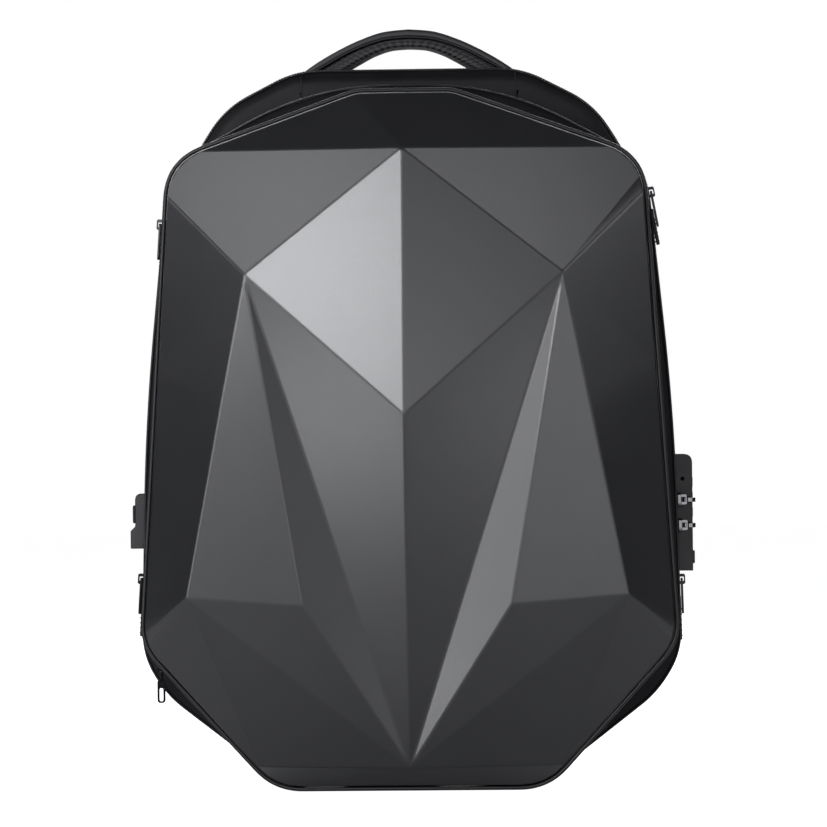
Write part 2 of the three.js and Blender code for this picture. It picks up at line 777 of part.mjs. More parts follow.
// Pocket zip's slider on the chamfer, and its pull, which hangs straight down
const pocketStand = gap + tapeThick + gap + crownCentre;
const pocketPivot = chamferPoint(sliderLength / 2 + 1, pocketStand);
const pocketPlace = new THREE.Group();
pocketPlace.position.set(pocketPivot.x, frontZipMiddle, pocketPivot.y);
const pocketSlider = new THREE.Group();
pocketSlider.rotation.y = Math.atan2(-chamferOut.y, -chamferOut.x);
pocketPlace.add(pocketSlider);
backpack.add(pocketPlace);
add("pocket_slider", slider(), "metal", pocketSlider);

function pocketPull() {
  const bailLength = pullThick + pullWindow + 1.6;
  const bail = extrude(shapeOf(roundedBox(pullWidth, bailLength, 1.4, 2)), pullThick);
  bail.rotateX(Math.PI / 2).rotateZ(Math.PI / 2);
  bail.translate(0, 0, pullThick / 2 - bailLength / 2);
  const window = extrude(shapeOf(roundedBox(pullWindow, pullWindow, 0.3, 1)), pullThick * 3);
  window.rotateX(Math.PI / 2).rotateZ(Math.PI / 2);
  window.translate(0, 0, -pullThick / 2 - pullWindow / 2);
  const bladeLength = pocketPullLength - bailLength + 1;
  const blade = extrude(shapeOf(roundedBox(pocketPullWidth, bladeLength, 2, 3)), pullThick);
  blade.rotateX(Math.PI / 2);
  const bladeMiddle = pullThick / 2 - bailLength + 1 - bladeLength / 2;
  blade.translate(0, 0, bladeMiddle);
  const slot = extrude(shapeOf(roundedBox(pocketPullWidth * 0.45, bladeLength * 0.55, 1, 3)), pullThick * 3);
  slot.rotateX(Math.PI / 2).translate(0, 0, bladeMiddle - bladeLength * 0.15);
  return cutBy(joined([cutBy(bail, [window]), blade]), [slot]);
}
add("pocket_pull", pocketPull(), "metal", pocketPlace);

// Combination lock: its inner face leans with the main body's side
const lockFront = mainZipY + tapeWidth + lockSetback - 4;
const lockMiddleY = lockFront + lockDepth / 2;
const lockSeatFoot = edgeAt(mainOutline, lockFoot).x + gap;
const lockSeatTop = edgeAt(mainOutline, lockFoot + lockHeight).x + gap;
const lockFace = lockSeatFoot + lockThick;

function box(x0, x1, y0, y1, z0, z1) {
  const geometry = new THREE.BoxGeometry(x1 - x0, y1 - y0, z1 - z0);
  return geometry.translate((x0 + x1) / 2, (y0 + y1) / 2, (z0 + z1) / 2);
}

function lockHousing() {
  const top = lockFoot + lockHeight;
  const side = new THREE.Shape();
  side.moveTo(lockSeatFoot, lockFoot);
  side.lineTo(lockFace, lockFoot);
  side.lineTo(lockFace, top - lockCorner);
  side.quadraticCurveTo(lockFace, top, lockFace - lockCorner, top);
  side.lineTo(lockSeatTop, top);
  const body = extrude(side, lockDepth).rotateX(Math.PI / 2).translate(0, lockMiddleY, 0);
  const tools = [];
  for (let i = 0; i < dialCount; i += 1) {
    const well = new THREE.CylinderGeometry(dialRadius + gap, dialRadius + gap, dialWidth + 2 * gap, 20);
    well.rotateX(Math.PI / 2);
    tools.push(well.translate(lockFace + dialProud - dialRadius, dialMiddleY, firstDial - i * dialPitch));
  }
  for (const height of slotHeights) {
    const [low, high] = [height - slotHeight / 2, height + slotHeight / 2];
    const [floor, cover] = [lockFace - slotFloor, lockFace - slotCover];
    tools.push(box(floor, cover, lockFront - cutOverrun, lockFront + slotReach, low, high));
  }
  const half = buttonHeight / 2 + gap;
  const across = buttonWidth / 2 + gap;
  const wellFloor = lockFace - buttonDepth - buttonTravel - gap;
  const [near, far] = [lockMiddleY - across, lockMiddleY + across];
  const wellMouth = lockFace + cutOverrun;
  tools.push(box(wellFloor, wellMouth, near, far, buttonPlace - half, buttonPlace + half));
  return cutBy(body, tools);
}
const dialMiddleY = lockFront + slotReach + 2 * gap + dialRadius + 0.6;
add("lock_housing", lockHousing(), "plastic");

for (let i = 0; i < dialCount; i += 1) {
  const dial = new THREE.CylinderGeometry(dialRadius, dialRadius, dialWidth, 20).rotateX(Math.PI / 2);
  const mesh = add("lock_dial_" + (i + 1), dial, "dial");
  mesh.position.set(lockFace + dialProud - dialRadius, dialMiddleY, firstDial - i * dialPitch);
}

const buttonLength = buttonDepth + buttonProud;
const buttonShape = shapeOf(roundedBox(buttonWidth, buttonHeight, 2, 2));
const button = extrude(buttonShape, buttonLength).rotateX(Math.PI / 2).rotateZ(Math.PI / 2);
const buttonMesh = add("lock_button", button, "dial");
buttonMesh.position.set(lockFace + buttonProud - buttonLength / 2, lockMiddleY, buttonPlace);

// Two sliders of the main zip, docked: each has a link from its crown into a slot of the lock
function dockedLink(x) {
  const inner = x + crownHole / 2 + crownWire + gap;
  const outer = lockFace + linkRise;
  const [deep, shallow] = [lockFace - slotFloor + linkSpare, lockFace - slotCover - linkSpare];
  const docked = lockFront - mainZipMiddle + slotReach - cutOverrun;
  const shape = new THREE.Shape();
  shape.moveTo(inner, -sliderWidth / 2);
  shape.lineTo(outer - 2, -sliderWidth / 2);
  shape.lineTo(outer, -1);
  shape.lineTo(outer, lockFront - mainZipMiddle - gap);
  shape.lineTo(shallow, lockFront - mainZipMiddle - gap);
  shape.lineTo(shallow, docked);
  shape.lineTo(deep, docked);
  shape.lineTo(deep, 1.5);
  shape.lineTo(inner, 1.5);
  return extrude(shape, slotHeight - 2 * gap);
}
slotHeights.forEach((height, i) => {
  const place = onSide(mainOutline, height, mainZipMiddle, 1);
  const name = i === 0 ? "docked_upper" : "docked_lower";
  add(name + "_slider", slider(), "metal", place);
  const link = add(name + "_pull", dockedLink(place.position.x), "metal");
  link.position.set(0, mainZipMiddle, height);
});

// Charging socket housing with a wider foot, and its closed rubber flap
const socketY = lockFront;
const socketMiddleY = socketY + socketDepth / 2;
const socketSeat = -edgeAt(mainOutline, socketFoot).x - gap;
const socketSeatTop = -edgeAt(mainOutline, socketFoot + socketHeight).x - gap;
const socketFace = socketSeat - socketThick;
const socketTop = socketFoot + socketHeight;

function socketHousing() {
  const shape = new THREE.Shape();
  shape.moveTo(socketSeat, socketFoot);
  shape.lineTo(socketFace - socketStepThick, socketFoot);
  shape.lineTo(socketFace - socketStepThick, socketFoot + socketStep - 3);
  shape.lineTo(socketFace, socketFoot + socketStep);
  shape.lineTo(socketFace, socketTop - 5);
  shape.quadraticCurveTo(socketFace, socketTop, socketFace + 4, socketTop);
  shape.lineTo(socketSeatTop, socketTop);
  return extrude(shape, socketDepth).rotateX(Math.PI / 2).translate(0, socketMiddleY, 0);
}
add("socket_housing", socketHousing(), "plastic");

const flapWidth = socketDepth - 2 * socketCapMargin;
const flapShape = shapeOf(roundedBox(flapWidth, socketCapHeight, socketCapRound, 2));
const flap = extrude(flapShape, socketCapThick).rotateX(Math.PI / 2).rotateZ(Math.PI / 2);
const flapMesh = add("socket_flap", flap, "rubber");
const flapHeight = socketFoot + socketStep + socketCapHeight / 2 + socketCapRound;
flapMesh.position.set(socketFace - gap - socketCapThick / 2, socketMiddleY, flapHeight);

// Shoulder straps, each one padded band that stands off the pads
function strapBody(side) {
  const drop = strapTop - strapFoot;
  const stations = strapStations.map((row) => {
    const thick = row.thick * strapThick;
    const low = row.up === 1 ? padY : padBackY + gap;
    const y = low + row.rise * strapRise + thick / 2;
    const place = new THREE.Vector3(side * row.across * strapSpread, y, strapFoot + row.up * drop);
    return { place, width: row.width * strapWidth, thick };
  });
  return bandOf(stations);
}

// Ladder lock buckle at a strap's lower end: a frame with two slots
const buckleY = padBackY + gap + strapStations.at(-1).rise * strapRise;
const buckleX = strapStations.at(-1).across * strapSpread;
const buckleTop = strapFoot - buckleDrop;

function buckleBody(side) {
  const frame = extrude(shapeOf(roundedBox(buckleWidth, buckleHeight, 3, 2)), buckleThick);
  const slotTall = (buckleHeight - 3 * buckleBar) / 2;
  const tools = [1, -1].map((way) => {
    const slot = new THREE.BoxGeometry(buckleWidth - 2 * buckleBar, slotTall, buckleThick * 3);
    return slot.translate(0, (way * (slotTall + buckleBar)) / 2, 0);
  });
  const body = cutBy(frame, tools).rotateX(Math.PI / 2);
  return body.translate(side * buckleX, buckleY + buckleThick / 2, buckleTop - buckleHeight / 2);
}

// Lower webbing, from under the buckle's lower bar to the back panel's corner
function webbingBody(side) {
  const startZ = buckleTop - buckleHeight + buckleBar + 2;
  const lowY = padY + webbingThick / 2;
  const highY = buckleY - gap - webbingThick / 2;
  const stations = webbingStations.map((row) => {
    const x = buckleX + row.along * (webbingSpread - buckleX);
    const z = startZ + row.along * (webbingFoot - startZ);
    const place = new THREE.Vector3(side * x, lowY + row.rise * (highY - lowY), z);
    return { place, width: webbingWidth, thick: webbingThick };
  });
  return bandOf(stations);
}
for (const [label, side] of [["right", 1], ["left", -1]]) {
  add("shoulder_strap_" + label, strapBody(side), "mesh");
  add("ladder_lock_" + label, buckleBody(side), "plastic");
  add("lower_webbing_" + label, webbingBody(side), "webbing");
}

export default backpack;
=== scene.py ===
import bisect
import json
import math

import bmesh
import bpy
from mathutils import Matrix, Vector, geometry, noise

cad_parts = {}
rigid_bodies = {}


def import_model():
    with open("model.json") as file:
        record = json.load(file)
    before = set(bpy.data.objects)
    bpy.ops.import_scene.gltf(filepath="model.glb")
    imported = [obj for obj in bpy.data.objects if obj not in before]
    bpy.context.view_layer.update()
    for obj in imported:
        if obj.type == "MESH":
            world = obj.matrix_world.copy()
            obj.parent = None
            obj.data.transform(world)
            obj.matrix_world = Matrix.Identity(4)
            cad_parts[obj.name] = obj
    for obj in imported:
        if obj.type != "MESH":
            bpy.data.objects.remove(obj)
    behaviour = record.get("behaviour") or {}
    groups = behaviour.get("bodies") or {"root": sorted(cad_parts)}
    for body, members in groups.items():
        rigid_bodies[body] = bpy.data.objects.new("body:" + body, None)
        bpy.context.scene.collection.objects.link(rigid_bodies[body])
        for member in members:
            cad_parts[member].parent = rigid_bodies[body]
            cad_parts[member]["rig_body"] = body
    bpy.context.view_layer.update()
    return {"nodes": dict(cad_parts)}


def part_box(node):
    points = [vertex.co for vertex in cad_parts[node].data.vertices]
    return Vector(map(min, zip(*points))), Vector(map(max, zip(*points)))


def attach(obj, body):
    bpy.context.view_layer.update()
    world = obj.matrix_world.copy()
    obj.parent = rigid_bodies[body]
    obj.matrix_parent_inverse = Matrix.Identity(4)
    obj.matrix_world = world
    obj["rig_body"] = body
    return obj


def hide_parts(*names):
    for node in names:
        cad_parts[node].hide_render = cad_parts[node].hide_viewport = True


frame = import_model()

mm = 0.001

# Outlines of the bag's layers: shares of the half width and height, with the reach of each rounding
rimCorners = [(0.181, 1.0, 0.03), (0.575, 0.9458, 0.06), (0.885, 0.903, 0.132), (0.947, 0.527, 0.2),
              (1.0, 0.2073, 0.083), (0.755, 0.1038, 0.06), (0.51, 0.0, 0.099)]
mainCorners = [(0.347, 0.999, 0.291), (0.717, 0.9215, 0.03), (0.885, 0.8863, 0.14), (0.98, 0.5217, 0.35),
               (1.0, 0.1888, 0.09), (0.905, 0.132, 0.07), (0.46, 0.0, 0.07)]
rearCorners = [(0.429, 1.0, 0.09), (0.7006, 0.9487, 0.1), (0.864, 0.855, 0.17), (0.977, 0.507, 0.3),
               (1.0, 0.1838, 0.08), (0.9, 0.128, 0.08), (0.462, 0.0, 0.07)]
layers = {
    "floorGap": 0.2 * mm,
    "gap": 0.3 * mm,
    "rim": {"corners": rimCorners, "width": 348 * mm, "height": 453.5 * mm, "foot": 4.2 * mm},
    "main": {"corners": mainCorners, "width": 357 * mm, "height": 466.2 * mm, "foot": 0},
    "rear": {"corners": rearCorners, "width": 354 * mm, "height": 479.8 * mm, "foot": 0},
    "rimY": -64.3 * mm,
    "gussetY": -60.0 * mm,
    "mainY": -32.3 * mm,
    "panelY": 60.3 * mm,
    "curve": 10,
    "ring": 480,
}


# Selecting, editing and finishing, as by hand
def pickOnly(obj):
    if bpy.context.object and bpy.context.object.mode != "OBJECT":
        bpy.ops.object.mode_set(mode="OBJECT")
    bpy.ops.object.select_all(action="DESELECT")
    obj.select_set(True)
    bpy.context.view_layer.objects.active = obj


def editAll(obj):
    pickOnly(obj)
    bpy.ops.object.mode_set(mode="EDIT")
    bpy.ops.mesh.select_all(action="SELECT")


def leaveEdit():
    bpy.ops.object.mode_set(mode="OBJECT")


def selectWhere(obj, kind, test):
    editAll(obj)
    bpy.ops.mesh.select_all(action="DESELECT")
    mesh = bmesh.from_edit_mesh(obj.data)
    for element in getattr(mesh, kind):
        element.select_set(test(element))
    bmesh.update_edit_mesh(obj.data)


def fillEnds(obj, sides=0):
    editAll(obj)
    bpy.ops.mesh.select_all(action="DESELECT")
    bpy.ops.mesh.select_non_manifold()
    bpy.ops.mesh.fill_holes(sides=sides)
    leaveEdit()


def finishWith(obj, kind, **settings):
    pickOnly(obj)
    bpy.ops.object.modifier_add(type=kind)
    modifier = obj.modifiers[-1]
    for name, value in settings.items():
        setattr(modifier, name, value)
    bpy.ops.object.modifier_apply(modifier=modifier.name)


def roundEdges(obj, width, segments, angle):
    finishWith(obj, "BEVEL", width=width, segments=segments, limit_method="ANGLE",
               angle_limit=math.radians(angle))


def smoothShade(obj, angle):
    pickOnly(obj)
    bpy.ops.object.shade_smooth_by_angle(angle=math.radians(angle))


def mergedCopy(node, name, flat=1.0):
    obj = bpy.data.objects.new(name, frame["nodes"][node].data.copy())
    bpy.context.scene.collection.objects.link(obj)
    editAll(obj)
    bpy.ops.mesh.customdata_custom_splitnormals_clear()
    bpy.ops.mesh.remove_doubles(threshold=0.01 * mm)
    bpy.ops.mesh.dissolve_limited(angle_limit=math.radians(flat))
    leaveEdit()
    return obj


# A unit block stays open for editing after its edges are bevelled
def newBlock(size, edge, segments):
    bpy.ops.object.select_all(action="DESELECT")
    bpy.ops.mesh.primitive_cube_add(size=1)
    bpy.ops.object.mode_set(mode="EDIT")
    bpy.ops.transform.resize(value=size)
    bpy.ops.mesh.bevel(offset=edge, segments=segments)
    return bpy.context.object


def place(obj, body, slot, *nodes, look=None):
    obj.data.materials.clear()
    obj.data.materials.append(looks[look or slot])
    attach(obj, body)
    if nodes:
        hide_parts(*nodes)
    return obj


# Outlines
def outlineOf(layer, steps):
    row = layers[layer]
    half = row["width"] / 2
    at = [Vector((a * half, row["foot"] + u * row["height"])) for a, u, r in row["corners"]]
    ends = [Vector((0, at[0].y)), *at, Vector((0, row["foot"]))]
    right = []
    for i, corner in enumerate(at):
        reach = row["corners"][i][2] * half
        a = corner + (ends[i] - corner).normalized() * reach
        b = corner + (ends[i + 2] - corner).normalized() * reach
        for k in range(steps + 1):
            t = k / steps
            right.append(a * (1 - t) ** 2 + corner * 2 * t * (1 - t) + b * t ** 2)
    return right + [Vector((-p.x, p.y)) for p in reversed(right)]


def offsetLine(points, distance):
    moved = []
    count = len(points)
    for i, p in enumerate(points):
        a = (p - points[i - 1]).normalized()
        b = (points[(i + 1) % count] - p).normalized()
        out = Vector((-a.y - b.y, a.x + b.x)).normalized()
        moved.append(p + out * distance / max(0.5, math.sqrt((1 + a.dot(b)) / 2)))
    return moved


# Shapes that follow a route round the bag
def wrapGrid(name, columns, rows, spot, uvSize=(1, 1), closed=False):
    bpy.ops.object.select_all(action="DESELECT")
    bpy.ops.mesh.primitive_grid_add(x_subdivisions=columns, y_subdivisions=rows, size=1, calc_uvs=True)
    obj = bpy.context.object
    obj.name = name
    for vertex in obj.data.vertices:
        vertex.co = spot(vertex.co.x + 0.5, vertex.co.y + 0.5)
    for corner in obj.data.uv_layers[0].data:
        corner.uv = (corner.uv[0] * uvSize[0], corner.uv[1] * uvSize[1])
    editAll(obj)
    if closed:
        bpy.ops.mesh.remove_doubles(threshold=0.005 * mm)
    bpy.ops.mesh.normals_make_consistent(inside=False)
    leaveEdit()
    return obj


def lengthOf(line):
    return sum((b - a).length for a, b in zip(line, line[1:]))


def evenPoints(points, count, closed):
    line = points + [points[0]] if closed else points
    total = lengthOf(line)
    even, k, done = [], 0, 0.0
    for i in range(count + (0 if closed else 1)):
        reach = total * i / count
        while k < len(line) - 2 and done + (line[k + 1] - line[k]).length < reach:
            done += (line[k + 1] - line[k]).length
            k += 1
        span = (line[k + 1] - line[k]).length
        even.append(line[k].lerp(line[k + 1], min(1.0, (reach - done) / span) if span else 0))
    return even


def ringOf(layer, offset=0.0):
    points = outlineOf(layer, layers["curve"])
    half = len(points) // 2
    even = evenPoints(points[half:] + points[:half], layers["ring"], True)
    return offsetLine(even, offset) if offset else even


# A route is a row of points with the way out of the bag and the length so far
def routeOf(points, closed=False):
    line = points + [points[0]] if closed else points
    route = {"points": line, "out": [], "lengths": [0.0]}
    for i in range(len(line)):
        before = line[i - 1] if i else line[-2 if closed else 0]
        after = line[i + 1] if i < len(line) - 1 else line[1 if closed else -1]
        along = (after - before).normalized()
        route["out"].append(Vector((-along.z, 0, along.x)))
    for a, b in zip(line, line[1:]):
        route["lengths"].append(route["lengths"][-1] + (b - a).length)
    return route


def ringRoute(layer, y, offset):
    return routeOf([Vector((p.x, y, p.y)) for p in ringOf(layer, offset)], True)


def routeOverTop(layer, corner, step, y, offset):
    points = offsetLine(outlineOf(layer, 12), offset)
    half = points[:corner * 13 + step * 3 + 1]
    line = [Vector((-p.x, p.y)) for p in reversed(half)] + half
    even = evenPoints(line, int(lengthOf(line) / (2.5 * mm)), False)
    return routeOf([Vector((p.x, y, p.y)) for p in even])


def layAlong(obj, route):
    lengths = route["lengths"]
    last = len(lengths) - 2
    for vertex in obj.data.vertices:
        x, y, z = vertex.co
        k = min(last, max(0, bisect.bisect_right(lengths, x) - 1))
        share = (x - lengths[k]) / (lengths[k + 1] - lengths[k])
        out = route["out"][k].lerp(route["out"][k + 1], share).normalized()
        vertex.co = route["points"][k].lerp(route["points"][k + 1], share) + out * z + Vector((0, y, 0))
    return obj


def rowOf(obj, pitch, count):
    finishWith(obj, "ARRAY", use_relative_offset=False, use_constant_offset=True,
               constant_offset_displace=(pitch, 0, 0), count=count)
    return obj


# A round cord sewn along a route
def cordAlong(name, route, radius, sides=8, closed=True):
    length = route["lengths"][-1]
    steps = len(route["points"]) - 1

    def spot(u, v):
        angle = 2 * math.pi * v
        return Vector((u * length, radius * math.cos(angle), radius * math.sin(angle)))
    cord = wrapGrid(name, steps, sides, spot, (length, 2 * math.pi * radius))
    layAlong(cord, route)
    for vertex in cord.data.vertices:
        vertex.co.z = max(vertex.co.z, layers["floorGap"])
    editAll(cord)
    bpy.ops.mesh.remove_doubles(threshold=0.005 * mm)
    if not closed:
        fillEnds(cord, sides)
        editAll(cord)
    bpy.ops.mesh.normals_make_consistent(inside=False)
    leaveEdit()
    smoothShade(cord, 60)
    return cord


# Sewing thread: one stitch, repeated along a route
thread = {"length": 2.5 * mm, "pitch": 3.5 * mm, "radius": 0.24 * mm, "start": 0.5 * mm}


def stitchAlong(name, routes):
    rows = []
    for route in routes:
        bpy.ops.object.select_all(action="DESELECT")
        bpy.ops.mesh.primitive_uv_sphere_add(segments=6, ring_count=4, radius=1)
        stitch = bpy.context.object
        bpy.ops.object.mode_set(mode="EDIT")
        bpy.ops.transform.resize(value=(thread["length"] / 2, thread["radius"], thread["radius"]))
        bpy.ops.transform.translate(value=(thread["length"] / 2 + thread["start"], 0, 0))
        leaveEdit()
        rowOf(stitch, thread["pitch"], int(route["lengths"][-1] / thread["pitch"]))
        rows.append(layAlong(stitch, route))
    return joinAs(name, rows)


def joinAs(name, objects):
    pickOnly(objects[0])
    for obj in objects[1:]:
        obj.select_set(True)
    if len(objects) > 1:
        bpy.ops.object.join()
    objects[0].name = name
    return objects[0]


# Material nodes: a value may be a number, a colour or another node's socket
def addNode(tree, kind, sockets=None, **settings):
    node = tree.nodes.new(kind)
    for name, value in settings.items():
        setattr(node, name, value)
    for name, value in (sockets or {}).items():
        if isinstance(value, bpy.types.NodeSocket):
            tree.links.new(value, node.inputs[name])
        else:
            node.inputs[name].default_value = value
    return node


def mathNode(tree, operation, first, second=0.0):
    return addNode(tree, "ShaderNodeMath", {0: first, 1: second}, operation=operation).outputs[0]


def ranged(tree, value, low, high, least=0.0, most=1.0):
    ends = {"From Min": low, "From Max": high, "To Min": least, "To Max": most}
    return addNode(tree, "ShaderNodeMapRange", {"Value": value, **ends}).outputs["Result"]


def colourRamp(tree, factor, dark, light):
    node = addNode(tree, "ShaderNodeValToRGB", {"Fac": factor})
    for element, colour in zip(node.color_ramp.elements, (dark, light)):
        element.color = (*colour, 1)
    return node.outputs["Color"]


# Every group takes a vector and one scale, and gives plain numbers
def newGroup(name, scale, value, *results):
    group = bpy.data.node_groups.new(name, "ShaderNodeTree")
    group.interface.new_socket(name="Vector", in_out="INPUT", socket_type="NodeSocketVector")
    group.interface.new_socket(name=scale, in_out="INPUT", socket_type="NodeSocketFloat").default_value = value
    for label in results:
        group.interface.new_socket(name=label, in_out="OUTPUT", socket_type="NodeSocketFloat")
    given = group.nodes.new("NodeGroupInput").outputs
    return group, given["Vector"], given[scale], group.nodes.new("NodeGroupOutput")


# The vector scaled to a grid of ones, and its parts
def gridOf(group, vector, scale):
    grid = addNode(group, "ShaderNodeVectorMath", {0: vector, "Scale": scale}, operation="SCALE")
    return addNode(group, "ShaderNodeSeparateXYZ", {0: grid.outputs["Vector"]})


# Pebble grain of moulded shells, plastics and leather
def grainGroup():
    group, vector, scale, result = newGroup("mouldedGrain", "Pebbles per metre", 900.0, "Height", "Tone")
    cells = addNode(group, "ShaderNodeTexVoronoi", {"Vector": vector, "Scale": scale}, feature="SMOOTH_F1")
    fine = addNode(group, "ShaderNodeTexNoise",
                   {"Vector": vector, "Scale": mathNode(group, "MULTIPLY", scale, 0.6), "Detail": 3.0})
    height = mathNode(group, "SUBTRACT", fine.outputs["Fac"], cells.outputs["Distance"])
    group.links.new(height, result.inputs["Height"])
    group.links.new(fine.outputs["Fac"], result.inputs["Tone"])
    return group


# Slow drift of tone over a surface, as handling and dust leave it
def driftGroup():
    group, vector, scale, result = newGroup("surfaceDrift", "Patches per metre", 14.0, "Mask")
    slow = addNode(group, "ShaderNodeTexNoise",
                   {"Vector": vector, "Scale": scale, "Detail": 5.0, "Roughness": 0.6})
    group.links.new(ranged(group, slow.outputs["Fac"], 0.3, 0.7), result.inputs["Mask"])
    return group


# Plain weave: over and under threads in two directions
def weaveGroup():
    group, vector, scale, result = newGroup("plainWeave", "Threads per metre", 1500.0, "Height")
    parts = gridOf(group, vector, scale)
    along, across = (mathNode(group, "SINE", mathNode(group, "MULTIPLY", parts.outputs[axis], math.pi))
                     for axis in ("X", "Y"))
    over = mathNode(group, "MULTIPLY", along, across)
    group.links.new(mathNode(group, "MULTIPLY_ADD", over, 0.5), result.inputs["Height"])
    return group


# Open spacer mesh: rows of diamond holes in a knitted lattice
def meshGroup():
    group, vector, scale, result = newGroup("openMesh", "Holes per metre", 300.0, "Hole", "Height")
    parts = gridOf(group, vector, scale)
    waves = [mathNode(group, "COSINE", mathNode(group, "MULTIPLY", parts.outputs[axis], 2 * math.pi))
             for axis in ("X", "Y")]
    both = mathNode(group, "ADD", waves[0], waves[1])
    # Hole marks the openings; the mesh materials colour them near-black as painted shade in their depth
    hole = ranged(group, both, -0.25, 0.55)
    group.links.new(hole, result.inputs["Hole"])
    group.links.new(mathNode(group, "SUBTRACT", 1.0, hole), result.inputs["Height"])
    return group


grain = grainGroup()
drift = driftGroup()
weave = weaveGroup()
openMesh = meshGroup()


def useGroup(tree, group, vector, scale):
    return addNode(tree, "ShaderNodeGroup", {"Vector": vector, 1: scale}, node_tree=group).outputs


def newMaterial(name, **fixed):
    material = bpy.data.materials.new(name)
    material.use_nodes = True
    tree = material.node_tree
    shader = tree.nodes["Principled BSDF"]
    for label, value in fixed.items():
        shader.inputs[label.replace("_", " ")].default_value = value
    return material, tree, shader


def shaded(tree, shader, mask, dark, light, rough, roughSpread):
    tree.links.new(colourRamp(tree, mask, dark, light), shader.inputs["Base Color"])
    spread = ranged(tree, mask, 0.0, 1.0, rough - roughSpread, rough + roughSpread)
    tree.links.new(spread, shader.inputs["Roughness"])


def bumped(tree, shader, height, depth):
    bump = addNode(tree, "ShaderNodeBump", {"Height": height, "Distance": depth, "Strength": 1.0})
    tree.links.new(bump.outputs["Normal"], shader.inputs["Normal"])


def driftMask(tree, patches):
    point = tree.nodes.new("ShaderNodeTexCoord").outputs["Object"]
    return point, useGroup(tree, drift, point, patches)["Mask"]


shellLook = {"dark": (0.021, 0.0215, 0.0235), "light": (0.026, 0.0265, 0.029), "rough": 0.3, "speckle": 0.02,
             "patches": 18.0, "pebbles": 2400.0, "grainDepth": 0.02 * mm, "specular": 1.0}


def shellMaterial():
    material, tree, shader = newMaterial("shellSatin", Specular_IOR_Level=shellLook["specular"])
    point, mask = driftMask(tree, shellLook["patches"])
    tree.links.new(colourRamp(tree, mask, shellLook["dark"], shellLook["light"]), shader.inputs["Base Color"])
    pebble = useGroup(tree, grain, point, shellLook["pebbles"])
    low, high = (shellLook["rough"] + side * shellLook["speckle"] for side in (-1, 1))
    tree.links.new(ranged(tree, pebble["Tone"], 0.35, 0.65, low, high), shader.inputs["Roughness"])
    bumped(tree, shader, pebble["Height"], shellLook["grainDepth"])
    return material


def clothMaterial(name, dark, light, rough, threads, depth, specular):
    material, tree, shader = newMaterial(name, Specular_IOR_Level=specular)
    point, mask = driftMask(tree, 25.0)
    shaded(tree, shader, mask, dark, light, rough, 0.05)
    bumped(tree, shader, useGroup(tree, weave, point, threads)["Height"], depth)
    return material


def mouldedMaterial(name, dark, light, rough, pebbles, depth, metallic):
    material, tree, shader = newMaterial(name, Metallic=metallic)
    point, mask = driftMask(tree, 60.0)
    shaded(tree, shader, mask, dark, light, rough, 0.04)
    bumped(tree, shader, useGroup(tree, grain, point, pebbles)["Height"], depth)
    return material


# Seen from outside, the pads' holes lie on a grid across and up the back; the handle's follow its own surface
def airMeshMaterial(name, holes, yarn, dark, useSurface):
    material, tree, shader = newMaterial(name, Sheen_Weight=0.15, Sheen_Roughness=0.5)
    points = tree.nodes.new("ShaderNodeTexCoord")
    flat = points.outputs["UV"]
    if not useSurface:
        parts = addNode(tree, "ShaderNodeSeparateXYZ", {0: points.outputs["Object"]})
        across, up = parts.outputs["X"], parts.outputs["Z"]
        flat = addNode(tree, "ShaderNodeCombineXYZ", {"X": across, "Y": up}).outputs["Vector"]
    lattice = useGroup(tree, openMesh, flat, holes)
    # The hole colour is near-black: partly the dark under-layer seen through the mesh, partly painted shade
    # inside the openings
    shaded(tree, shader, lattice["Hole"], yarn, dark, 0.62, -0.1)
    bumped(tree, shader, lattice["Height"], 0.5 * mm)
    return material


# A dark grey with a little more blue
def grey(tone, blue):
    return tone, tone, blue


# Moulded and metal looks: the dark and light tones with their blue, roughness, pebbles a metre, their depth,
# metallic
moulded = {
    "piping": ("pipingCord", (0.011, 0.013), (0.015, 0.017), 0.42, 1500.0, 0.002 * mm, 0.0),
    "paint": ("dialPaint", (0.35, 0.36), (0.45, 0.46), 0.5, 2000.0, 0.002 * mm, 0.0),
    "leather": ("handleLeather", (0.012, 0.014), (0.018, 0.02), 0.42, 900.0, 0.02 * mm, 0.0),
    "zip_metal": ("blackNickel", (0.018, 0.02), (0.03, 0.033), 0.22, 800.0, 0.002 * mm, 1.0),
    "docked_metal": ("brightNickel", (0.13, 0.135), (0.2, 0.205), 0.14, 800.0, 0.001 * mm, 1.0),
    "zip_teeth": ("zipTeeth", (0.012, 0.013), (0.02, 0.021), 0.3, 800.0, 0.003 * mm, 0.0),
    "rubber": ("pullRubber", (0.01, 0.011), (0.016, 0.017), 0.6, 1200.0, 0.02 * mm, 0.0),
    "lock_plastic": ("lockPlastic", (0.014, 0.016), (0.02, 0.022), 0.38, 2000.0, 0.01 * mm, 0.0),
    "dial_plastic": ("dialPlastic", (0.02, 0.022), (0.03, 0.032), 0.35, 2000.0, 0.01 * mm, 0.0),
    "socket_plastic": ("socketPlastic", (0.012, 0.014), (0.018, 0.02), 0.45, 2000.0, 0.01 * mm, 0.0),
    "buckle_plastic": ("bucklePlastic", (0.012, 0.014), (0.018, 0.02), 0.35, 2000.0, 0.01 * mm, 0.0),
}

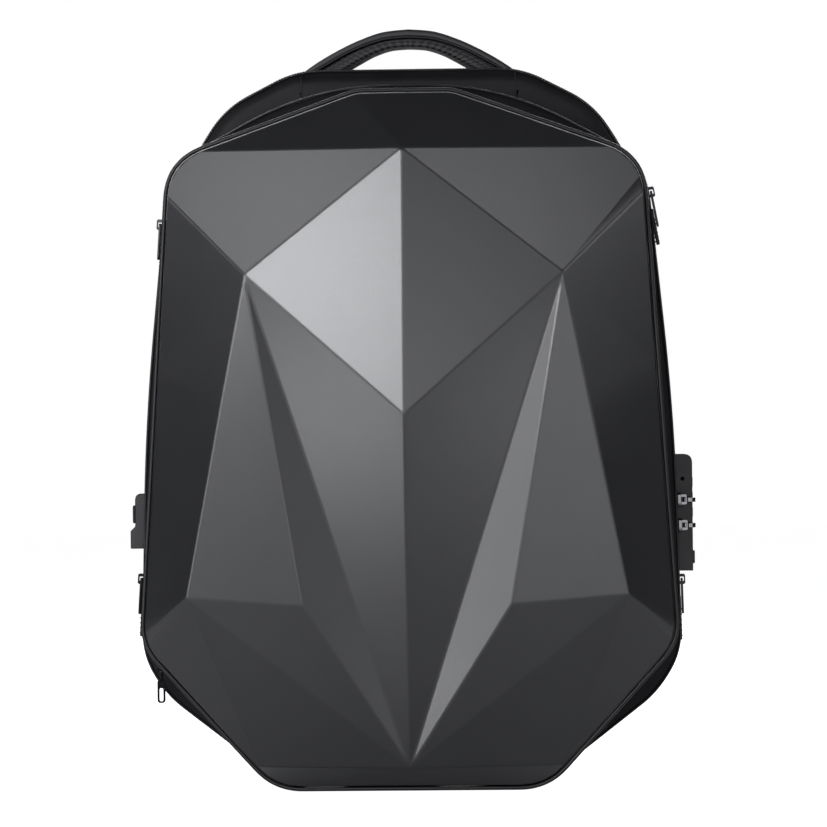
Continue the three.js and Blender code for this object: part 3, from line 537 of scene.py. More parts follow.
# Woven looks: the dark and light tones with their blue, roughness, threads a metre, their depth, specular
woven = {
    "fabric": ("bodyCloth", (0.009, 0.0105), (0.013, 0.015), 0.5, 1600.0, 0.02 * mm, 0.22),
    "thread": ("sewingThread", (0.02, 0.022), (0.035, 0.038), 0.5, 4000.0, 0.02 * mm, 0.4),
    "zip_tape": ("zipTape", (0.008, 0.009), (0.014, 0.015), 0.7, 900.0, 0.1 * mm, 0.4),
    "webbing": ("webbingWeave", (0.008, 0.009), (0.016, 0.017), 0.7, 600.0, 0.15 * mm, 0.4),
}
looks = {
    "shell": shellMaterial(),
    # The last colour of each mesh look is the near-black of its holes: dark under-layer and painted shade in the
    # openings
    "air_mesh": airMeshMaterial("airMesh", 300.0, grey(0.016, 0.018), grey(0.002, 0.002), False),
    "handle_mesh": airMeshMaterial("handleMesh", 215.0, grey(0.07, 0.075), grey(0.0005, 0.0005), True),
}
for make, table in ((mouldedMaterial, moulded), (clothMaterial, woven)):
    for look, (name, dark, light, *rest) in table.items():
        looks[look] = make(name, grey(*dark), grey(*light), *rest)

# Camera at the photograph's place: level with the middle of the bag and a little to its right
viewpoint = {"turn": 2.0, "distance": 2600 * mm, "aim": (4.2 * mm, -64.3 * mm, 247.8 * mm), "lens": 172.8,
             "sensor": 36, "roll": -0.6}


def makeCamera():
    turn = math.radians(viewpoint["turn"])
    aim = Vector(viewpoint["aim"])
    stand = aim + viewpoint["distance"] * Vector((math.sin(turn), -math.cos(turn), 0))
    bpy.ops.object.camera_add(location=stand)
    camera = bpy.context.object
    facing = (aim - stand).to_track_quat("-Z", "Y").to_matrix().to_4x4()
    roll = Matrix.Rotation(math.radians(viewpoint["roll"]), 4, "Z")
    camera.matrix_world = Matrix.Translation(stand) @ facing @ roll
    camera.data.lens = viewpoint["lens"]
    camera.data.sensor_width = viewpoint["sensor"]
    bpy.context.scene.camera = camera


# Studio: each soft box with its turn and rise round the bag and its width and height as seen from there, all
# in degrees, then its distance and its radiance
studio = {
    "centre": Vector((0, -0.03, 0.25)),
    "floorSize": 12.0,
    "floorGlow": 0.98,
    "boxes": [
        ("keyBox", -19, 10, 14, 14, 1.6, 10.8),
        ("keyUpper", -19, 17, 14, 14, 1.65, 7.4),
        ("middleStrip", 9, 3, 14, 24, 1.6, 2.1),
        ("leftStrip", -40, 3, 14, 14, 1.5, 4.6),
        ("rightStrip", 37, 3, 14, 14, 1.5, 1.3),
        ("lowLeft", -40, -18, 14, 14, 0.75, 5.2),
        ("lowRight", 42, -18, 14, 14, 0.75, 1.9),
        ("leftSide", -68, 17, 14, 14, 1.5, 1.7),
        ("rightSide", 65, 17, 14, 14, 1.5, 2.5),
        ("highLeft", -47, 38, 14, 14, 1.6, 4.1),
        ("highRight", 37, 38, 14, 14, 1.6, 3.0),
        ("flankLeft", -122, 30, 26, 26, 1.6, 2.6),
        ("flankRight", 122, 30, 26, 26, 1.6, 2.6),
        ("backLeft", -162, 25, 34, 34, 2.0, 4.4),
        ("backRight", 164, 22, 30, 34, 2.0, 3.8),
    ],
    "surround": 0.02,
    "tint": (0.965, 0.97, 1.0),
}


def makeLights():
    for name, turn, rise, wide, tall, distance, radiance in studio["boxes"]:
        turn, rise = math.radians(turn), math.radians(rise)
        away = Vector((math.sin(turn) * math.cos(rise), -math.cos(turn) * math.cos(rise), math.sin(rise)))
        bpy.ops.object.light_add(type="AREA", location=studio["centre"] + away * distance)
        lamp = bpy.context.object
        lamp.name = name
        lamp.rotation_euler = (-away).to_track_quat("-Z", "Y").to_euler()
        wide, tall = (2 * distance * math.tan(math.radians(angle / 2)) for angle in (wide, tall))
        lamp.data.shape = "RECTANGLE"
        lamp.data.size, lamp.data.size_y = wide, tall
        lamp.data.energy = radiance * math.pi * wide * tall
        lamp.data.color = studio["tint"]
        lamp.visible_camera = False


def makeSurround():
    world = bpy.data.worlds.new("studioRoom")
    bpy.context.scene.world = world
    world.use_nodes = True
    tree = world.node_tree
    tree.nodes.clear()
    path = tree.nodes.new("ShaderNodeLightPath")
    dim = addNode(tree, "ShaderNodeBackground", {"Color": (1, 1, 1, 1), "Strength": studio["surround"]})
    white = addNode(tree, "ShaderNodeBackground", {"Color": (1, 1, 1, 1), "Strength": 1.0})
    mix = addNode(tree, "ShaderNodeMixShader",
                  {0: path.outputs["Is Camera Ray"], 1: dim.outputs[0], 2: white.outputs[0]})
    out = tree.nodes.new("ShaderNodeOutputWorld")
    tree.links.new(mix.outputs[0], out.inputs["Surface"])


def makeFloor():
    bpy.ops.mesh.primitive_plane_add(size=studio["floorSize"], location=(0, 0, -layers["floorGap"]))
    floor = bpy.context.object
    floor.name = "floor"
    material, tree, shader = newMaterial("paleFloor", Roughness=0.7)
    shaded(tree, shader, driftMask(tree, 3.0)[1], (0.5, 0.5, 0.5), (0.54, 0.54, 0.54), 0.7, 0.02)
    path = tree.nodes.new("ShaderNodeLightPath")
    glow = mathNode(tree, "MULTIPLY", path.outputs["Is Camera Ray"], studio["floorGlow"])
    shader.inputs["Emission Color"].default_value = (1, 1, 1, 1)
    tree.links.new(glow, shader.inputs["Emission Strength"])
    floor.data.materials.append(material)


makeCamera()
makeLights()
makeSurround()
makeFloor()
bpy.context.scene.view_settings.view_transform = "Standard"
print("studio set")

# Front shell: the ridges between its facets and the edge of its rim are rounded
shellEdges = {"ridge": 1.2 * mm, "rim": 1.0 * mm, "segments": 4, "relief": 58 * mm, "reach": 0.05 * mm,
              "shallow": 2.5 * mm, "curve": 4, "cornerSpan": (11, 15)}
shellPeaks = {"apex": (0, 0.9155, 0.793), "brow": (0.592, 0.7378, 0.69), "heart": (0, 0.5365, 1.0),
              "cheek": (0.8247, 0.277, 0.586), "fold": (0.388, 0.2646, 0.621), "chin": (0, 0.0284, 0.276)}
# Places on the rim: the outline's corner, and the step in its rounding
rimPlaces = {"crown": (0, 2), "corner": (2, 0), "under": (2, 4), "hip": (4, 1), "foot": (6, 0)}
ridgeLines = {"apex": ("crown", "corner", "brow", "heart"),
              "brow": ("under", "heart", "cheek", "fold", "chin"), "heart": ("chin",),
              "cheek": ("fold", "chin", "hip", "foot"), "fold": ("chin",), "chin": ("foot",)}


def shellPoint(name, side):
    row = layers["rim"]
    if name in shellPeaks:
        across, up, out = shellPeaks[name]
        return Vector((side * across * row["width"] / 2, layers["rimY"] - out * shellEdges["relief"],
                       row["foot"] + up * row["height"]))
    corner, step = rimPlaces[name]
    p = outlineOf("rim", shellEdges["curve"])[corner * (shellEdges["curve"] + 1) + step]
    x = side * p.x
    return Vector((x, upperPlane(side, x, p.y) if name == "under" else layers["rimY"], p.y))


def upperPlane(side, x, z):
    apex, brow, corner = (shellPoint(name, side) for name in ("apex", "brow", "corner"))
    normal = (brow - apex).cross(corner - apex)
    return apex.y - (normal.x * (x - apex.x) + normal.z * (z - apex.z)) / normal.y


# The upper facet stays flat out to the rounded corner, so the rim's edge follows its plane there
def flattenCorner(shell):
    outline = outlineOf("rim", shellEdges["curve"])
    for side in (1, -1):
        for p in outline[slice(*shellEdges["cornerSpan"])]:
            for vertex in shell.data.vertices:
                if (vertex.co - Vector((side * p.x, layers["rimY"], p.y))).length < shellEdges["reach"]:
                    vertex.co.y = upperPlane(side, vertex.co.x, vertex.co.z)


def distanceToLine(p, a, b):
    along = (p - a).dot(b - a) / (b - a).length_squared
    return (p - a.lerp(b, min(1, max(0, along)))).length


def makeShell():
    shell = mergedCopy("front_shell", "shell_facets", 0.2)
    flattenCorner(shell)
    lines = [(shellPoint(a, side), shellPoint(b, side)) for a, ends in ridgeLines.items() for b in ends
             for side in (1, -1)]
    rim = outlineOf("rim", shellEdges["curve"])

    def onRidge(edge):
        ends = [v.co for v in edge.verts]
        return any(all(distanceToLine(p, a, b) < shellEdges["reach"] for p in ends) for a, b in lines)

    def onRim(edge):
        flat = [Vector((v.co.x, v.co.z)) for v in edge.verts]
        shallow = all(v.co.y < layers["rimY"] + shellEdges["shallow"] for v in edge.verts)
        return shallow and all(min((p - q).length for q in rim) < shellEdges["ridge"] for p in flat)

    for chosen, width in ((onRidge, shellEdges["ridge"]), (onRim, shellEdges["rim"])):
        selectWhere(shell, "edges", chosen)
        bpy.ops.mesh.bevel(offset=width, segments=shellEdges["segments"], profile=0.5, clamp_overlap=True)
        leaveEdit()
    smoothShade(shell, 30)
    finishWith(shell, "WEIGHTED_NORMAL", keep_sharp=True, weight=100)
    place(shell, "root", "shell", "front_shell")


makeShell()
print("shell made")


def smoothStep(a, b, x):
    t = min(1.0, max(0.0, (x - a) / (b - a)))
    return t * t * (3 - 2 * t)


def through(stations, share):
    reach = share * (len(stations) - 1)
    k = min(len(stations) - 2, int(reach))
    t = reach - k
    a, b, c, d = (stations[min(len(stations) - 1, max(0, k + i))] for i in (-1, 0, 1, 2))
    return [0.5 * (2 * q + (r - p) * t + (2 * p - 5 * q + 4 * r - s) * t * t + (3 * q - p - 3 * r + s) * t ** 3)
            for p, q, r, s in zip(a, b, c, d)]


# Piping round the shell's rim and the cords in the body's seams: layer, depth, height over the layer's outline,
# radius, sides and the node that the cord stands for
seamCords = {
    "rim_piping_cord": ("rim", layers["gussetY"], 2.4 * mm, 1.4 * mm, 12, ["rim_piping"]),
    "main_seam_cord": ("main", layers["mainY"] + 5.5 * mm, 0.3 * mm, 0.8 * mm, 8, []),
    "back_seam_cord": ("rear", layers["panelY"] - layers["gap"] / 2, -3.6 * mm, 1.1 * mm, 8, []),
}
for name, (layer, y, over, radius, sides, nodes) in seamCords.items():
    cord = cordAlong(name, ringRoute(layer, y, over), radius, sides)
    place(cord, "root", "piping", *nodes)

# Cloth bodies: stations from front to back, each with its depth, its share of the main outline and its height
# over the outline, all in millimetres but the share
bodyCloth = {
    "wall": 1.6 * mm,
    "creaseHeight": 0.45 * mm,
    "waves": {"around": 22, "deep": 0.045, "size": 1.4},
    "front_gusset": {"layers": ("rim", "rim"), "rows": 28, "stations": [
        (-60.0, 0, 0.4), (-58.5, 0, 0.9), (-55, 0, 1.5), (-51, 0, 1.5), (-49, 0, 1.9), (-48.4, 0, 1.2),
        (-48, 0, 0.7), (-44.5, 0, 0.7), (-41, 0, 0.7), (-40.6, 0, 1.2), (-40, 0, 1.9), (-38, 0, 1.5),
        (-35, 0, 1.3), (-32.6, 0, 0.6)]},
    "main_body": {"layers": ("rim", "main"), "rows": 40, "stations": [
        (-32.3, 0, 0.7), (-31, 0.25, 0.6), (-29, 0.65, 0.3), (-27, 0.93, 0.2), (-24.3, 1, 0.2), (-22, 1, 0.6),
        (-20.6, 1, 1.1), (-20.1, 1, 0.5), (-19.6, 1, 0.1), (-16.3, 1, 0), (-13, 1, 0.1), (-12.5, 1, 0.5),
        (-12, 1, 1.1), (-10, 1, 0.5), (-6, 1, 0.2), (4, 1, 0.3), (9.7, 1, 0), (13, 1, -1.2), (15.5, 1, -2.8),
        (17.5, 1, -4.6)]},
    "rear_body": {"layers": ("rear", "rear"), "rows": 36, "stations": [
        (18.6, 0, -6.4), (19.2, 0, -4.4), (20.3, 0, -2.4), (21.6, 0, -1.0), (22.4, 0, -0.6), (23, 0, -0.2),
        (26, 0, 0), (29.6, 0, 0), (30, 0, 0.5), (30.6, 0, 1.1), (34, 0, 0.8), (42, 0, 0.9), (50, 0, 0.6),
        (55, 0, -0.2), (58, 0, -2.2), (60, 0, -4.8)]},
}

# The rear body's top lies lower between its two corner seams, all in millimetres; the zip stays where it is
rearTop = {"from": 440, "zip": (21.5, 31), "drop": 1.3, "ends": (71.5, 74), "seam": 73, "seamDrop": 0.7,
           "seamWidth": 1.1, "seamFrom": (33, 40), "front": 19, "wallEdge": (6, 0), "wallMiddle": (40, -0.5)}


def topDrop(x, y):
    if rearTop["zip"][0] < y < rearTop["zip"][1]:
        return 0
    drop = rearTop["drop"] * (1 - smoothStep(*rearTop["ends"], x))
    crease = math.exp(-((x - rearTop["seam"]) / rearTop["seamWidth"]) ** 2)
    return drop + rearTop["seamDrop"] * crease * smoothStep(*rearTop["seamFrom"], y)


def makeClothBody(node):
    row = bodyCloth[node]
    count = layers["ring"]
    front, back = (ringOf(layer) for layer in row["layers"])
    fronts, backs = front + [front[0]], back + [back[0]]
    outs = []
    for i in range(count + 1):
        along = backs[(i + 1) % count] - backs[(i - 1) % count]
        outs.append(Vector((-along.y, along.x)).normalized())
    waves = bodyCloth["waves"]

    def spot(u, v):
        i = round(u * count)
        y, share, over = through(row["stations"], v)
        flat = fronts[i].lerp(backs[i], share)
        soft = math.sin(math.pi * v) ** 0.5 * bodyCloth["creaseHeight"] if 0 < v < 1 else 0
        wave = noise.noise(Vector((flat.x * waves["around"], y * waves["deep"], flat.y * waves["around"])))
        if node == "rear_body" and flat.y > rearTop["from"] * mm:
            over -= topDrop(abs(flat.x) / mm, y)
        flat = flat + outs[i] * (over * mm + soft * wave * waves["size"])
        return Vector((flat.x, y * mm, max(flat.y, 0.25 * mm)))
    body = wrapGrid(node + "_cloth", count, row["rows"], spot, (lengthOf(fronts), 0.05), True)
    if node == "rear_body":
        front = rearTop["front"] * mm
        selectWhere(body, "edges", lambda edge: edge.is_boundary and all(v.co.y < front for v in edge.verts))
        bpy.ops.mesh.edge_face_add()
        for thickness, depth in (rearTop["wallEdge"], rearTop["wallMiddle"]):
            bpy.ops.mesh.inset(thickness=thickness * mm, depth=depth * mm)
        leaveEdit()
    finishWith(body, "SOLIDIFY", thickness=bodyCloth["wall"], offset=-1, use_even_offset=False)
    smoothShade(body, 50)
    place(body, "root", "fabric", node)


for node in ("front_gusset", "main_body", "rear_body"):
    makeClothBody(node)
print("cloth bodies and cords made")


# Flat pieces of cloth: a merged copy of the CAD piece with its edges rounded
def finishFlat(node, name, look, edge, segments, angle):
    piece = mergedCopy(node, name)
    roundEdges(piece, edge, segments, angle)
    smoothShade(piece, 40)
    place(piece, "root", look, node)


finishFlat("back_panel", "back_panel_cloth", "fabric", 0.8 * mm, 3, 25)

# Zips: woven tape, and pairs of teeth that mesh along its middle
zips = {
    "tapeWidth": 8 * mm, "tapeLift": 0.75 * mm, "tapeThick": 0.5 * mm, "tapeStep": 4 * mm,
    "pocketY": -44.5 * mm,
    "toothPitch": 1.9 * mm, "toothSize": (0.95 * mm, 2.6 * mm, 0.95 * mm), "toothEdge": 0.22 * mm,
    "toothLift": 1.0 * mm, "toothAside": 0.8 * mm,
    "front_zip": {"layer": "rim", "corner": 4, "step": 0, "y": -44.5 * mm, "offset": 0.7 * mm},
    "main_zip": {"layer": "main", "corner": 4, "step": 1, "y": -16.3 * mm, "offset": 0},
    "rear_zip": {"layer": "rear", "corner": 4, "step": 1, "y": 26 * mm, "offset": 0},
}


def makeTape(name, route, node):
    length, half = route["lengths"][-1], zips["tapeWidth"] / 2

    def spot(u, v):
        crown = 1 - (2 * v - 1) ** 2
        return Vector((u * length, (2 * v - 1) * half, zips["tapeLift"] * (0.4 + 0.6 * crown)))
    tape = wrapGrid(name, int(length / zips["tapeStep"]), 6, spot, (length, zips["tapeWidth"]))
    layAlong(tape, route)
    finishWith(tape, "SOLIDIFY", thickness=zips["tapeThick"], offset=-1)
    smoothShade(tape, 40)
    place(tape, "root", "zip_tape", node)


def makeTeeth(name, route):
    rows = []
    for side in (-1, 1):
        tooth = newBlock(zips["toothSize"], zips["toothEdge"], 1)
        shift = (0.5 + 0.25 * side) * zips["toothPitch"]
        bpy.ops.transform.translate(value=(shift, side * zips["toothAside"], zips["toothLift"]))
        leaveEdit()
        rowOf(tooth, zips["toothPitch"], int(route["lengths"][-1] / zips["toothPitch"]))
        rows.append(layAlong(tooth, route))
    teeth = joinAs(name, rows)
    smoothShade(teeth, 20)
    place(teeth, "root", "zip_tape", look="zip_teeth")


def makeZips():
    for node in ("front_zip", "main_zip", "rear_zip"):
        row = zips[node]
        route = routeOverTop(row["layer"], row["corner"], row["step"], row["y"], row["offset"])
        makeTape(node + "_tape", route, node)
        makeTeeth(node + "_teeth", route)
    low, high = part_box("pocket_zip")
    run = Vector((high.x, 0, low.z)) - Vector((low.x, 0, high.z))
    start = Vector((high.x - 1.1 * mm, zips["pocketY"], low.z + 0.4 * mm))
    end = start - run.normalized() * (run.length - 1.6 * mm)
    pocket = routeOf([start, start.lerp(end, 0.5), end])
    makeTape("pocket_zip_tape", pocket, "pocket_zip")
    makeTeeth("pocket_zip_teeth", pocket)


makeZips()

# Sewn rows beside the zips: each row's layer, place, height over the outline and the corner it runs to
sewnRows = {
    "front_gusset_stitches": [("rim", -50.4 * mm, 1.75 * mm, 4, 0), ("rim", -38.6 * mm, 1.75 * mm, 4, 0)],
    "main_body_stitches": [("main", -22.2 * mm, 0.75 * mm, 4, 1), ("main", -10.6 * mm, 0.75 * mm, 4, 1)],
    "rear_body_stitches": [("rear", 32.0 * mm, 1.05 * mm, 4, 1), ("rear", 54.0 * mm, 0.15 * mm, 4, 1)],
}
for name, rows in sewnRows.items():
    routes = [routeOverTop(layer, corner, step, y, over) for layer, y, over, corner, step in rows]
    place(stitchAlong(name, routes), "root", "fabric", look="thread")
print("zips and sewn rows made")


# Hard pieces: a merged copy of the CAD piece with its edges rounded
def finishHard(node, slot, edge, look=None):
    piece = mergedCopy(node, node + "_finish")
    roundEdges(piece, edge, 3, 30)
    smoothShade(piece, 40)
    finishWith(piece, "WEIGHTED_NORMAL", keep_sharp=True)
    place(piece, frame["nodes"][node]["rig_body"], slot, node, look=look)


hardEdges = {"zip_metal": 0.28 * mm, "tail": 0.5 * mm, "housing": 0.8 * mm, "dial": 0.35 * mm,
             "button": 0.6 * mm, "flap": 0.5 * mm, "buckle": 0.5 * mm}
tailRibs = {"count": 6, "width": 2.2 * mm, "thick": 0.9 * mm, "proud": 0.35 * mm, "edge": 0.3 * mm,
            "from": 0.3, "span": 0.62, "end": 1.5 * mm}


def makePulls():
    edge = hardEdges["zip_metal"]
    for name in ("left_upper", "right_upper", "left_lower", "right_lower"):
        finishHard(name + "_slider", "zip_metal", edge)
        finishHard(name + "_pull", "zip_metal", edge)
        finishHard(name + "_tail", "rubber", hardEdges["tail"])
        makeRibs(name)
    for node in ("pocket_slider", "pocket_pull"):
        finishHard(node, "zip_metal", edge)
    for node in ("docked_upper_slider", "docked_lower_slider", "docked_upper_pull", "docked_lower_pull"):
        finishHard(node, "zip_metal", edge, "docked_metal")


def makeRibs(name):
    row = tailRibs
    corners = [v.co for v in frame["nodes"][name + "_tail"].data.vertices]
    high, low = max(p.z for p in corners), min(p.z for p in corners)
    tops = [p for p in corners if p.z > high - row["end"]]
    feet = [p for p in corners if p.z < low + row["end"]]
    top, foot = (sum(ends, Vector()) / len(ends) for ends in (tops, feet))
    down = (foot - top).normalized()
    turn = Matrix((-down.cross(Vector((0, 1, 0))), Vector((0, 1, 0)), -down)).transposed()
    depth = max(p.y for p in corners) - min(p.y for p in corners)
    bars = []
    for i in range(row["count"]):
        size = (row["width"] + 2 * row["proud"], depth + row["proud"], row["thick"])
        bar = newBlock(size, row["edge"], 2)
        leaveEdit()
        share = row["from"] + row["span"] * i / (row["count"] - 1)
        bar.data.transform(Matrix.Translation(top.lerp(foot, share)) @ turn.to_4x4())
        bars.append(bar)
    ribs = joinAs(name + "_ribs", bars)
    smoothShade(ribs, 40)
    place(ribs, frame["nodes"][name + "_tail"]["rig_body"], "rubber")


makePulls()
print("sliders and pulls made")


# Lock: housing with a screw in its front face, ribbed dials with plain numbers, and a button
lock = {"screw": (181.4 * mm, -8.3 * mm, 202.5 * mm), "screwRadius": 1.5 * mm, "screwHeight": 0.8 * mm,
        "slot": ((0.45 * mm, 0), (0.1 * mm, -0.5 * mm)), "smallEdge": 0.12 * mm, "dialRadius": 5.2 * mm,
        "dialX": 183.381 * mm, "dialY": 5.1 * mm, "dialHeights": (200 * mm, 190 * mm, 180 * mm),
        "digitSize": 3.0 * mm, "digitCount": 10, "digitProud": 0.04 * mm, "ribSize": 0.55 * mm,
        "ribHeight": 5.6 * mm}


def makeScrew():
    x, y, z = lock["screw"]
    bpy.ops.object.select_all(action="DESELECT")
    bpy.ops.mesh.primitive_cylinder_add(vertices=24, radius=lock["screwRadius"], depth=lock["screwHeight"])
    screw = bpy.context.object
    screw.name = "lock_screw"
    selectWhere(screw, "faces", lambda face: face.normal.z > 0.9)
    for thickness, depth in lock["slot"]:
        bpy.ops.mesh.inset(thickness=thickness, depth=depth)
    leaveEdit()
    roundEdges(screw, lock["smallEdge"], 2, 40)
    screw.data.transform(Matrix.Translation((x, y - 0.1 * mm, z)) @ Matrix.Rotation(math.radians(90), 4, "X"))
    smoothShade(screw, 40)
    place(screw, "root", "zip_metal")


def makeDial(i):
    finishHard(f"lock_dial_{i}", "dial_plastic", hardEdges["dial"])
    centre = Vector((lock["dialX"], lock["dialY"], lock["dialHeights"][i - 1]))
    body = frame["nodes"][f"lock_dial_{i}"]["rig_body"]
    digits, bars = [], []
    for n in range(lock["digitCount"]):
        turn = Matrix.Translation(centre) @ Matrix.Rotation(2 * math.pi * n / lock["digitCount"], 4, "Z")
        bpy.ops.object.select_all(action="DESELECT")
        bpy.ops.object.text_add()
        digit = bpy.context.object
        digit.data.body = str(n)
        digit.data.size = lock["digitSize"]
        digit.data.align_x = "CENTER"
        digit.data.align_y = "CENTER"
        digit.data.extrude = lock["digitProud"]
        bpy.ops.object.convert(target="MESH")
        upright = Matrix.Rotation(math.radians(90), 4, "Z") @ Matrix.Rotation(math.radians(90), 4, "X")
        bpy.context.object.data.transform(turn @ Matrix.Translation((lock["dialRadius"], 0, 0)) @ upright)
        digits.append(bpy.context.object)
        bar = newBlock((lock["ribSize"], lock["ribSize"], lock["ribHeight"]), lock["smallEdge"], 1)
        leaveEdit()
        half = Matrix.Rotation(math.pi / lock["digitCount"], 4, "Z")
        bar.data.transform(turn @ half @ Matrix.Translation((lock["dialRadius"] - 0.05 * mm, 0, 0)))
        bars.append(bar)
    place(joinAs(f"lock_dial_{i}_numbers", digits), body, "dial_plastic", look="paint")
    ribs = joinAs(f"lock_dial_{i}_ribs", bars)
    smoothShade(ribs, 40)
    place(ribs, body, "dial_plastic")


def makeLock():
    finishHard("lock_housing", "lock_plastic", hardEdges["housing"])
    for i in (1, 2, 3):
        makeDial(i)
    makeScrew()
    finishHard("lock_button", "dial_plastic", hardEdges["button"])


makeLock()
finishHard("socket_housing", "socket_plastic", hardEdges["housing"])
finishHard("socket_flap", "rubber", hardEdges["flap"])
for side in ("left", "right"):
    finishHard("ladder_lock_" + side, "buckle_plastic", hardEdges["buckle"])
print("lock, socket and buckles made")

# Carry handle: a leather arch with a raised edge, over an open mesh pad. Each line of the arch is a row of
# shares: how far across from the middle, and how far up from the foot
handle = {"half": 72.3 * mm, "rise": 29.2 * mm, "foot": 480.1 * mm, "y": 43.3 * mm,
          "over": [(0, 1.0), (0.24, 0.94), (0.46, 0.76), (0.66, 0.53), (0.84, 0.28), (0.96, 0.08), (1.0, 0.0)],
          "seam": [(0, 0.79), (0.22, 0.745), (0.42, 0.6), (0.59, 0.42), (0.75, 0.2), (0.86, 0.05), (0.89, 0.0)],
          "under": [(0, 0.55), (0.16, 0.52), (0.31, 0.4), (0.42, 0.26), (0.52, 0.12), (0.59, 0.02), (0.61, 0.0)],
          "coverDepth": 26 * mm, "padDepth": 22 * mm, "coverSquare": 0.4, "padSquare": 0.75,
          "edgeRadius": 0.8 * mm, "edgeIn": 1.3 * mm, "seamRadius": 0.5 * mm}


def archPoint(line, share):
    across, up = through(handle[line], abs(share))
    side = 1 if share > 0 else -1
    return Vector((side * across * handle["half"], 0, handle["foot"] + max(0.0, up) * handle["rise"]))


def archGrid(name, over, under, depth, square):
    length = 2.2 * handle["half"]

    def spot(u, v):
        outer, inner = archPoint(over, 2 * u - 1), archPoint(under, 2 * u - 1)
        across, rise = math.cos(2 * math.pi * v), math.sin(2 * math.pi * v)
        y = math.copysign(abs(across) ** square, across) * depth / 2
        height = math.copysign(abs(rise) ** square, rise)
        return outer.lerp(inner, 0.5 - 0.49 * height) + Vector((0, handle["y"] + y, 0))
    band = wrapGrid(name, 96, 48, spot, (length, 2.2 * depth), True)
    fillEnds(band)
    smoothShade(band, 50)
    return band


# The seam from each foot: its depth and its height over the rear body, in millimetres
handleSeam = [(18.6, -18), (18.4, -12), (18.8, -5), (20.8, -1.7), (24.5, 0.3), (30, 1.0), (45, 0.9),
              (56, -0.3)]


def tubeAlong(name, points, radius, sides=8):
    steps = (len(points) - 1) * 6

    def spot(u, v):
        here, ahead = (Vector(through(points, min(1.0, max(0.0, t)))) for t in (u - 0.004, u + 0.004))
        along = (ahead - here).normalized()
        across = along.cross(Vector((0.02, 0.01, 1) if abs(along.z) < 0.9 else (0.02, 1, 0))).normalized()
        turn = 2 * math.pi * v
        return (here + ahead) / 2 + radius * (across * math.cos(turn) + across.cross(along) * math.sin(turn))
    tube = wrapGrid(name, steps, sides, spot, (lengthOf(points), 2 * math.pi * radius), True)
    fillEnds(tube)
    smoothShade(tube, 60)
    return tube


def makeHandle():
    band = archGrid("handle_leather", "over", "seam", handle["coverDepth"], handle["coverSquare"])
    place(band, "root", "leather", "handle_cover")
    soft = archGrid("handle_mesh", "seam", "under", handle["padDepth"], handle["padSquare"])
    place(soft, "root", "air_mesh", "handle_pad", look="handle_mesh")
    edges = []
    for side in (-1, 1):
        y = handle["y"] + side * (handle["coverDepth"] / 2 - handle["edgeIn"])
        line = [archPoint("seam", i / 48 - 1) + Vector((0, y, 0.5 * mm)) for i in range(97)]
        edges.append(cordAlong("edge", routeOf(line), handle["edgeRadius"], 8, False))
    place(joinAs("handle_edges", edges), "root", "leather")
    seams = []
    for side in (-1, 1):
        line = archPoint("over", side * 0.999)
        high = min(ringOf("rear"), key=lambda p: abs(p.x - line.x) + (1 if p.y < 0.4 else 0)).y
        points = [Vector((line.x, y * mm, high + z * mm)) for y, z in handleSeam]
        seams.append(tubeAlong("seam", points, handle["seamRadius"]))
    place(joinAs("handle_seams", seams), "root", "fabric", look="rubber")


makeHandle()
print("handle made")


# Padded pieces swell by cloth simulation from a slightly smaller start
padding = {"voxel": 4.5 * mm, "shrink": 0.5 * mm, "pressure": 4.0, "frames": 20, "cap": 3.5 * mm,
           "smooth": 3}


def swell(node):
    soft = mergedCopy(node, node + "_soft", 5)
    finishWith(soft, "REMESH", mode="VOXEL", voxel_size=padding["voxel"])
    finishWith(soft, "SMOOTH", factor=0.5, iterations=padding["smooth"])
    finishWith(soft, "DISPLACE", strength=-padding["shrink"], mid_level=0)
    start = [v.co.copy() for v in soft.data.vertices]
    pickOnly(soft)
    bpy.ops.object.modifier_add(type="CLOTH")
    cloth = soft.modifiers[-1]
    cloth.settings.use_pressure = True
    cloth.settings.uniform_pressure_force = padding["pressure"]
    cloth.settings.effector_weights.gravity = 0
    for step in range(1, padding["frames"] + 1):
        bpy.context.scene.frame_set(step)
    bpy.ops.object.modifier_apply(modifier=cloth.name)
    for vertex, before in zip(soft.data.vertices, start):
        move = vertex.co - before
        if move.length > padding["cap"]:
            vertex.co = before + move.normalized() * padding["cap"]
    finishWith(soft, "SUBSURF", levels=1, render_levels=1)
    smoothShade(soft, 180)
    return soft


# Sewn channels pressed into the pads: across them at shares of the height, or up them at shares of the width
channels = {
    "back_pad_left": {"up": [0.3, 0.62], "across": [], "slope": 0.22},
    "back_pad_right": {"up": [0.3, 0.62], "across": [], "slope": -0.22},
    "lumbar_pad": {"up": [], "across": [0.3, 0.7], "slope": 0.0},
    "depth": 3.2 * mm, "width": 3.0 * mm, "back": 3 * mm, "least": 2.5 * mm, "edge": 1.3 * mm,
}


def pressChannels(soft, node):
    row = channels[node]
    low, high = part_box(node)
    size, middle = high - low, (low + high) / 2
    for vertex in soft.data.vertices:
        p = vertex.co
        away = [abs(p.z - low.z - share * size.z - row["slope"] * (p.x - middle.x)) for share in row["up"]]
        away += [abs(p.x - low.x - share * size.x) for share in row["across"]]
        press = sum(math.exp(-(gap / channels["width"]) ** 2) for gap in away)
        if p.y > low.y + channels["back"]:
            p.y = max(low.y + channels["least"], p.y - press * channels["depth"])


# The binding follows the pad's own outline, as seen from behind
def padEdge(name, soft):
    spots = [vertex.co for vertex in soft.data.vertices]
    hull = geometry.convex_hull_2d([Vector((p.x, p.z)) for p in spots])
    y = sum(spots[k].y for k in hull) / len(hull)
    line = [Vector((spots[k].x, y, spots[k].z)) for k in reversed(hull)]
    edge = cordAlong(name, routeOf(evenPoints(line, 200, True), True), channels["edge"])
    place(edge, "root", "piping")


